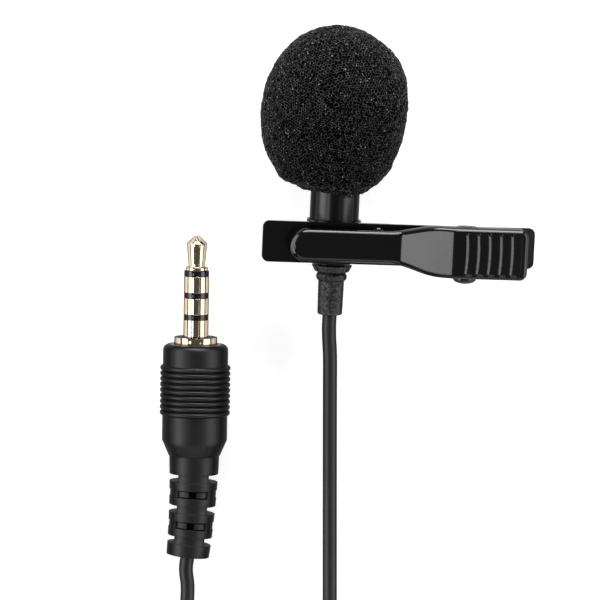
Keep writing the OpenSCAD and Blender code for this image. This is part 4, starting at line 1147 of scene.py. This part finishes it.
def jaw_outline(tip_corner, pad_half, arm_edge):
    """Points round one half of the front jaw, tip to pad: place, way inwards, width of edge."""
    points = []
    tip_points, bite_points, arm_points, rise_points, pad_points, corner_points = OUTLINE_POINTS
    tip = (TIP_X + tip_corner, ARM_HALF - tip_corner)
    for angle in spread(180, 90, tip_points):
        way = Vector((math.cos(math.radians(angle)), math.sin(math.radians(angle))))
        wide = arm_edge + (TIP_EDGE - arm_edge) * max(-way.x, 0)
        points.append((Vector(tip) + way * tip_corner, -way, wide))
    bite = TIP_X + BITE_LENGTH
    straight = [
        *spread(tip[0], bite - NEARBY, bite_points),
        bite - NEARBY,
        *spread(bite + NEARBY, RISE_X - 1, arm_points),
        *spread(RISE_X - 1, PAD_X + 1, rise_points),
        *spread(PAD_X + 1, PAD_END - PAD_CORNER, pad_points),
    ]
    for x in straight:
        after, before = jaw_half(x + NEARBY, pad_half), jaw_half(x - NEARBY, pad_half)
        slope = (after - before) / (2 * NEARBY)
        wide = arm_edge + (SIDE_EDGE - arm_edge) * ramp(x, RISE_X, PAD_X, RISE_EASE)
        points.append((Vector((x, jaw_half(x, pad_half))), Vector((slope, -1)).normalized(), wide))
    corner = (PAD_END - PAD_CORNER, pad_half - PAD_CORNER)
    for angle in [*spread(90, 0, corner_points), 0]:
        way = Vector((math.cos(math.radians(angle)), math.sin(math.radians(angle))))
        wide = SIDE_EDGE + (END_EDGE - SIDE_EDGE) * max(way.x, 0)
        points.append((Vector(corner) + way * PAD_CORNER, -way, wide))
    return points


def edge_profile(steps):
    """The rolled edge of a drawn sheet, from its wall to its face.

    Each point is a share of the edge's width inwards and one down."""
    steep = math.radians(EDGE_TILT)
    slopes = [math.tan(steep * (1 - ((i + 0.5) / steps) ** EDGE_BEND)) for i in range(steps)]
    falls = [sum(slopes[i:]) / steps for i in range(steps)] + [0]
    corner = [(0, EDGE_CORNER + falls[0]), (EDGE_CORNER / 3, EDGE_CORNER / 3 + falls[0])]
    roll = 1 - EDGE_CORNER
    return corner + [(EDGE_CORNER + roll * i / steps, falls[i]) for i in range(steps + 1)]


def jaw_skin(upper_half, lower_half, inset, steps, across, points, faces):
    """One side of the front jaw's sheet: rings up its walls, the rolled edge and the face.

    Returns the first point of the ring at its foot."""
    half = len(upper_half)
    first = len(points)
    whole = [(*point, 1) for point in upper_half] + [(*point, -1) for point in reversed(lower_half)]
    profile = [None, *edge_profile(steps)]
    for level in profile:
        for place, way, wide, side in whole:
            inwards, down = level or profile[1]
            flat = place + way * (inset + JAW_EDGE * wide * inwards)
            z = jaw_top(flat.x) - inset - JAW_EDGE * wide * down
            points.append((flat.x, side * flat.y, z if level else jaw_foot(place.x)))
    count = 2 * half
    for ring in range(len(profile) - 1):
        for i in range(count):
            a, b = first + ring * count + i, first + ring * count + (i + 1) % count
            faces.append((a, b, b + count, a + count))
    rim = first + (len(profile) - 1) * count
    columns = []
    for i in range(half):
        upper, lower = rim + i, rim + count - 1 - i
        column = [upper]
        for k in range(1, across):
            column.append(len(points))
            points.append(tuple(Vector(points[upper]).lerp(Vector(points[lower]), k / across)))
        columns.append([*column, lower])
    for left, right in zip(columns, columns[1:]):
        for k in range(across):
            faces.append((left[k], left[k + 1], right[k + 1], right[k]))
    return first


def front_jaw_shell():
    """The front jaw as one closed sheet: drawn arm, rise and thumb pad, with its walls and ears."""
    halves = [jaw_outline(*half) for half in zip(TIP_CORNERS, PAD_HALVES, (SIDE_EDGE, LOWER_EDGE))]
    points, faces = [], []
    outer = jaw_skin(*halves, 0, OUTER_STEPS, OUTER_ACROSS, points, faces)
    inner = jaw_skin(*halves, SHEET, INNER_STEPS, INNER_ACROSS, points, faces)
    count = 2 * len(halves[0])
    for i in range(count):
        after = (i + 1) % count
        faces.append((outer + i, outer + after, inner + after, inner + i))
    return from_parts("front_jaw_shell", points, faces)


def thumb_ribs(sizes):
    """Tree that raises ribs across the thumb pad: a short riser, a long fall, all bowed alike."""
    tree, given = grow_tree("Thumb ribs", sizes)
    place = add(tree, "GeometryNodeInputPosition")
    xyz = add(tree, "ShaderNodeSeparateXYZ", {0: place}).outputs
    # Distance from the point that the ribs are bowed round, counted in ribs from the first
    centre = {0: PAD_X + FIRST_RIB, 1: given["Bow radius"]}
    centre = add(tree, "ShaderNodeMath", centre, operation="SUBTRACT")
    x = add(tree, "ShaderNodeMath", {0: xyz["X"], 1: centre}, operation="SUBTRACT")
    flat = add(tree, "ShaderNodeCombineXYZ", {"X": x, "Y": xyz["Y"]})
    far = add(tree, "ShaderNodeVectorMath", {0: flat}, operation="LENGTH").outputs["Value"]
    past = add(tree, "ShaderNodeMath", {0: far, 1: given["Bow radius"]}, operation="SUBTRACT")
    ribs = add(tree, "ShaderNodeMath", {0: past, 1: given["Pitch"]}, operation="DIVIDE")
    phase = add(tree, "ShaderNodeMath", {0: ribs}, operation="FRACT")
    riser = add(tree, "ShaderNodeMapRange", {0: phase, 1: 0.0, 2: RIB_RISER})
    fall = add(tree, "ShaderNodeMapRange", {0: phase, 1: RIB_FALL[0], 2: RIB_FALL[1]})
    # Only on the face, between the first rib and the last
    after_first = add(tree, "ShaderNodeMath", {0: ribs, 1: 0.0}, operation="GREATER_THAN")
    before_last = {0: ribs, 1: given["Count"]}
    before_last = add(tree, "ShaderNodeMath", before_last, operation="LESS_THAN")
    upper, lower = PAD_HALVES
    middle, half = (upper - lower) / 2, (upper + lower) / 2
    aside = add(tree, "ShaderNodeMath", {0: xyz["Y"], 1: middle}, operation="SUBTRACT")
    wide = add(tree, "ShaderNodeMath", {0: aside}, operation="ABSOLUTE")
    inside = {0: wide, 1: half - RIB_END, 2: half - RIB_END - RIB_FADE}
    inside = add(tree, "ShaderNodeMapRange", inside, **EASED)
    level = {0: xyz["Z"], 1: PAD_FACE - RIB_UNDER}
    level = add(tree, "ShaderNodeMath", level, operation="GREATER_THAN")
    height = riser
    for part in (fall, after_first, before_last, inside, level, given["Height"]):
        height = add(tree, "ShaderNodeMath", {0: height, 1: part}, operation="MULTIPLY")
    offset = add(tree, "ShaderNodeCombineXYZ", {"Z": height})
    shaped = {"Geometry": given["Geometry"], "Offset": offset}
    shaped = add(tree, "GeometryNodeSetPosition", shaped)
    end_tree(tree, shaped, given["Enamel"])
    return tree


class LAVALIER_OT_clip(bpy.types.Operator):
    """Makes the clip's jaws, ring, rivets, hinge pin and spring"""

    bl_idname = "lavalier.clip"
    bl_label = "Tie clip"

    def execute(self, context):
        settings = context.scene.lavalier.clip
        # Stoving enamel on steel sheet: deep gloss black, with the faintest orange peel
        enamel = skin_of(
            "black_stoving_enamel",
            settings.enamel,
            ripples=(0.9, 1.0),
            haze=(6.0, 3.0),
            roughness=(0.08, 0.15),
            relief=0.004,
            ior=1.5,
            shaded=(0.5, 0.3, 0.65),
        )
        jaw = front_jaw_shell()
        sizes = {
            "Count": settings.rib_count,
            "Pitch": settings.rib_pitch / MM,
            "Height": settings.rib_height / MM,
            "Bow radius": settings.rib_bow / MM,
            "Enamel": enamel,
        }
        grown(jaw, thumb_ribs(sizes), sizes)
        jaw.data.transform(ON_CLIP)
        smooth(jaw, 40)
        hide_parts("front_jaw")
        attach(jaw, "jaw_body")
        dress(jaw, enamel)
        plate = softened("back_jaw", "back_jaw_plate", settings.edge)
        band = softened("holder_ring", "holder_band", BAND_EDGE * settings.edge)
        pin = softened("hinge_pin", "hinge_pin_domed", settings.edge / 2)
        off_clip = ON_CLIP.inverted()
        for corner in pin.data.vertices:
            at = off_clip @ corner.co
            if at.y < PIN_HEAD_FROM:
                corner.co = ON_CLIP @ (at - Vector((0, PIN_HEAD_OUT, 0)))
        for piece in (plate, band, pin):
            dress(piece, enamel)
        dress_node(enamel, "holder_rivets")
        # Spring steel wire, hard drawn: grey and bright, with fine drawing marks
        wire = finish_of(
            "spring_steel_wire",
            linear("#77787b"),
            1.4,
            roughness=(0.22, 0.34),
            grain=0.08,
            relief=0.003,
            metallic=1.0,
        )
        # It twists with the jaw, from its leg on the back jaw to its leg under the pad
        spring = smooth(copied("torsion_spring", "spring_wire"), 60)
        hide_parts("torsion_spring")
        dress(spring, wire)
        ends = [Vector((PIVOT_X, side * SPRING_HALF, PIVOT_Z)) for side in (-1, 1)]
        low, high = (tuple(ON_CLIP @ end) for end in ends)
        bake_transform(spring, "clip_body", "jaw_body", start=low, end=high)
        return {"FINISHED"}


# Plug

# Places of the front and back slots along the strain relief
POCKETS = (5.3, 9.7)
# Their floors: height along the relief, depth under its surface, from where to where they run to
# the side, how near the middle they begin, and points across
FLOOR_HEIGHT = 0.75
FLOOR_DEPTH = 0.3
FLOOR_ACROSS = (0.5, 2.3)
FLOOR_INSIDE = 0.8
FLOOR_POINTS = 8


def along_relief(along):
    """Frame at that distance along the plug's strain relief, with -Z running on along it."""
    bend = PLUG_RELIEF_LENGTH / PLUG_RELIEF_BEND
    turn = PLUG_RELIEF_BEND * along / PLUG_RELIEF_LENGTH
    place = Vector((-bend * (1 - math.cos(turn)), 0, PLUG_RELIEF_START - bend * math.sin(turn)))
    return ON_PLUG @ Matrix.Translation(place) @ Matrix.Rotation(turn, 4, "Y")


def pocket_floors(piece):
    """Adds the shallow floors of the front and back slots to the moulded grip."""
    body = bmesh.new()
    body.from_mesh(piece.data)
    for along in POCKETS:
        part = along / PLUG_RELIEF_LENGTH
        thick = PLUG_RELIEF_WIDE + (PLUG_RELIEF_SLIM - PLUG_RELIEF_WIDE) * part
        radius = thick / 2 - FLOOR_DEPTH
        start, end = (math.asin(across / radius) for across in FLOOR_ACROSS)
        turns = spread(start, end, FLOOR_POINTS)
        arc = [Vector((math.sin(turn), math.cos(turn))) * radius for turn in turns]
        plan = [*arc, Vector((arc[-1].x, FLOOR_INSIDE)), Vector((arc[0].x, FLOOR_INSIDE))]
        here = along_relief(along)
        for side, up in ((-1, -1), (-1, 1), (1, -1), (1, 1)):
            rims = []
            for z in (-FLOOR_HEIGHT / 2, FLOOR_HEIGHT / 2):
                ring = [here @ Vector((side * at.x, up * at.y, z)) for at in plan]
                rims.append([body.verts.new(point) for point in ring])
                body.faces.new(rims[-1])
            lower, upper = rims
            for i in range(len(plan)):
                body.faces.new((lower[i - 1], lower[i], upper[i], upper[i - 1]))
    bmesh.ops.recalc_face_normals(body, faces=body.faces)
    body.to_mesh(piece.data)
    body.free()


class LAVALIER_OT_plug(bpy.types.Operator):
    """Finishes the plug's contacts, insulating rings and moulded grip"""

    bl_idname = "lavalier.plug"
    bl_label = "Plug"

    def execute(self, context):
        settings = context.scene.lavalier.plug
        # Brass, turned, nickel plated and gold flashed: pale gold and mirror bright
        plating = finish_of(
            "gold_flashed_nickel",
            settings.plating,
            1.09,
            roughness=(0.08, 0.12),
            grain=0.1,
            relief=0.0015,
            metallic=1.0,
        )
        for node in ("plug_tip", "plug_ring_1", "plug_ring_2", "plug_sleeve"):
            contact = softened(node, node + "_contact", settings.edge)
            dress(contact, plating)
        # Polyoxymethylene, moulded and polished: black and glossy
        acetal = finish_of(
            "black_acetal",
            settings.insulator,
            1.64,
            roughness=(0.1, 0.18),
            grain=0.2,
            relief=0.002,
            level=0.7,
            shaded=(0.2, 0.45),
        )
        for node in ("insulator_tip", "insulator_middle", "insulator_sleeve"):
            ring = softened(node, "plug_" + node, settings.edge / 2)
            dress(ring, acetal)
        # Thermoplastic rubber, moulded in a spark-eroded tool: matt, with a fine even grain
        rubber = finish_of(
            "moulded_grip_rubber",
            settings.rubber,
            1.52,
            roughness=(0.36, 0.46),
            grain=0.16,
            relief=0.006,
            level=0.36,
            shaded=(0.12, 0.42),
        )
        grip = softened("plug_grip", "plug_grip_moulding", settings.edge)
        pocket_floors(grip)
        dress(grip, rubber)
        # Polyethylene block, moulded: dark grey and waxy
        block = finish_of("polyethylene_block", linear("#2a2a2c"), 1.48, (0.4, 0.5), 0.3, 0.005)
        dress_node(block, "plug_inner_mould")
        # PVC-insulated wire: red and softly glossy
        wire = finish_of("insulated_plug_wire", linear("#8e2a22"), 1.41, (0.35, 0.45), 0.2, 0.004)
        dress_node(wire, "plug_conductors")
        dress_node(rubber, "plug_cable_end")
        return {"FINISHED"}


# Panel and start

OPERATORS = (
    LAVALIER_OT_stage,
    LAVALIER_OT_windscreen,
    LAVALIER_OT_head,
    LAVALIER_OT_clip,
    LAVALIER_OT_plug,
    LAVALIER_OT_cord,
)


class LAVALIER_PT_pieces(bpy.types.Panel):
    """Lists the operators that make the microphone's pieces"""

    bl_label = "Microphone"
    bl_space_type = "VIEW_3D"
    bl_region_type = "UI"
    bl_category = "Microphone"

    def draw(self, context):
        for operator in OPERATORS:
            self.layout.operator(operator.bl_idname)


CLASSES = (
    StageSettings,
    FoamSettings,
    HeadSettings,
    ClipSettings,
    CordSettings,
    PlugSettings,
    MicrophoneSettings,
    *OPERATORS,
    LAVALIER_PT_pieces,
)


def register():
    for kind in CLASSES:
        bpy.utils.register_class(kind)
    bpy.types.Scene.lavalier = PointerProperty(type=MicrophoneSettings)


def unregister():
    del bpy.types.Scene.lavalier
    for kind in reversed(CLASSES):
        bpy.utils.unregister_class(kind)


def main():
    register()
    for operator in OPERATORS:
        group, name = operator.bl_idname.split(".")
        getattr(getattr(bpy.ops, group), name)()


if __name__ == "__main__":
    main()
